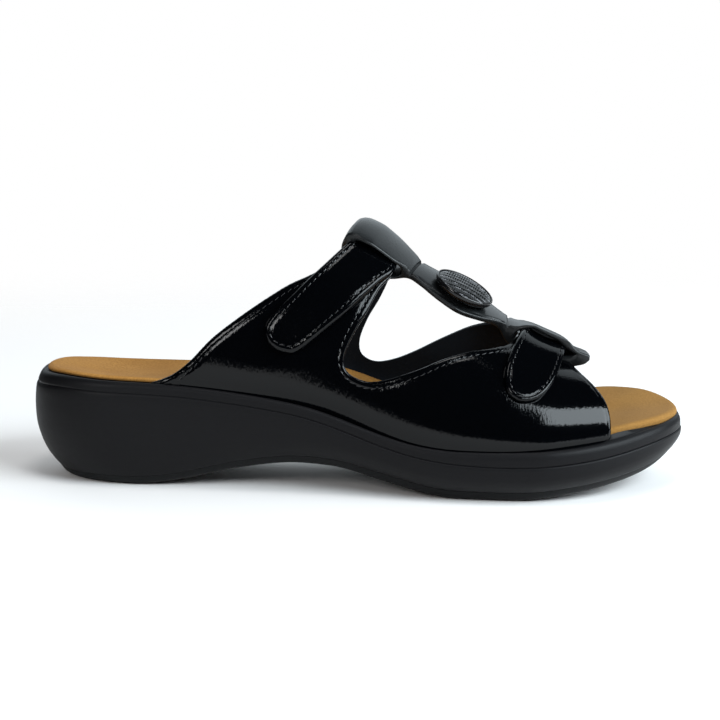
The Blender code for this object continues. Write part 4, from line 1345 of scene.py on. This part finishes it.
# %% [markdown]
# ## Lights
# Patent shows what is around it, so the lights are placed for what they mirror: one wide soft light in front
# on the right, a glow from behind, a small one straight above and a weak one on the left. Each is given by
# its radiance, because that is what a mirror shows of it, however large it is made.

# %% Lights
COOL, PLAIN = (0.84, 0.94, 1.0), (1.0, 1.0, 1.0)
AIM = Vector((0, 0, 0.05))
# Name, azimuth from the front, elevation, roll, distance in metres, width, height, radiance, colour
LIGHTS = [
    ("key_light", 67.5, 29.0, -25.0, 1.25, 1.58, 0.60, 11.2, COOL),
    ("back_light", 176.0, 31.0, 0.0, 1.70, 3.20, 1.75, 1.12, COOL),
    ("top_light", 15.0, 80.0, 0.0, 1.40, 0.44, 0.44, 6.0, PLAIN),
    ("left_light", -31.0, 25.0, 0.0, 1.30, 0.36, 0.36, 10.0, PLAIN),
]


def soft_light(name, azimuth, elevation, roll, distance, width, height, radiance, colour):
    """Area light that faces the shoe and gives off the same radiance all over."""
    a, e = math.radians(azimuth), math.radians(elevation)
    outward = Vector((math.sin(a) * math.cos(e), -math.cos(a) * math.cos(e), math.sin(e)))
    data = bpy.data.lights.new(name, "AREA")
    data.shape = "RECTANGLE"
    data.size, data.size_y = width, height
    data.energy = radiance * math.pi * width * height
    data.color = colour
    light = bpy.data.objects.new(name, data)
    light.location = outward * distance + AIM
    facing = outward.to_track_quat("Z", "Y").to_matrix() @ Matrix.Rotation(math.radians(roll), 3, "Z")
    light.rotation_euler = facing.to_euler()
    light.visible_camera = False
    bpy.context.scene.collection.objects.link(light)


for row in LIGHTS:
    soft_light(*row)
print("lights:", ", ".join(row[0] for row in LIGHTS))

# %% [markdown]
# ## The room
# Seen directly, the room is white. To a mirror it is dark, or the patent would turn grey, and to a matt
# surface it gives a weak fill, as white walls do. A Light Path node tells the three apart. In a real studio,
# white walls and black cards close to the shoe would do the same.

# %% Room
ROOM_DARK = (0.012, 0.012, 0.013, 1)
SURROUND_WHITE = (1.0, 1.0, 1.0, 1)
ROOM_FILL = 0.14
world = bpy.data.worlds.new("studio")
bpy.context.scene.world = world
world.use_nodes = True
room = Web(world.node_tree)
seen = room.node("ShaderNodeLightPath", {}, {}, "Is Camera Ray")
bounced = room.node("ShaderNodeLightPath", {}, {}, "Is Diffuse Ray")
surround = room.mixed(ROOM_FILL * bounced + seen, ROOM_DARK, SURROUND_WHITE)
room.put(room.tree.nodes["Background"].inputs["Color"], surround)
bpy.context.scene.view_settings.view_transform = "Standard"
print("share of the room's white that matt surfaces get:", ROOM_FILL)

# %% [markdown]
# ## Camera
# The picture was taken from the lateral side, a little above the shoe and with a long lens. The camera is
# turned by those angles, and aimed so that the shoe sits in the frame as it does in the picture. A shift of
# the lens could aim it too, but other views would keep that shift.

# %% Camera
TARGET = Vector((1.5, 0.0, 45.0)) * MM
VIEW_AZIMUTH, VIEW_ELEVATION, VIEW_ROLL = map(math.radians, (3.5, 11.3, 0.4))
VIEW_DISTANCE = 1.0
FRAME_AT_TARGET = 0.2915
AIM_RIGHT, AIM_UP = -0.53 * MM, 2.47 * MM

back = Vector((
    math.sin(VIEW_AZIMUTH) * math.cos(VIEW_ELEVATION),
    -math.cos(VIEW_AZIMUTH) * math.cos(VIEW_ELEVATION),
    math.sin(VIEW_ELEVATION),
))
level = Vector((math.cos(VIEW_AZIMUTH), math.sin(VIEW_AZIMUTH), 0))
right = math.cos(VIEW_ROLL) * level + math.sin(VIEW_ROLL) * back.cross(level)
upward = back.cross(right)
lens = bpy.data.cameras.new("camera")
lens.sensor_width = 36.0
lens.lens = lens.sensor_width * VIEW_DISTANCE / FRAME_AT_TARGET
camera = bpy.data.objects.new("camera", lens)
camera.matrix_world = Matrix((right, upward, back)).transposed().to_4x4()
camera.location = TARGET + VIEW_DISTANCE * back + AIM_RIGHT * right + AIM_UP * upward
bpy.context.scene.collection.objects.link(camera)
bpy.context.scene.camera = camera
print("lens in mm:", round(lens.lens, 1))
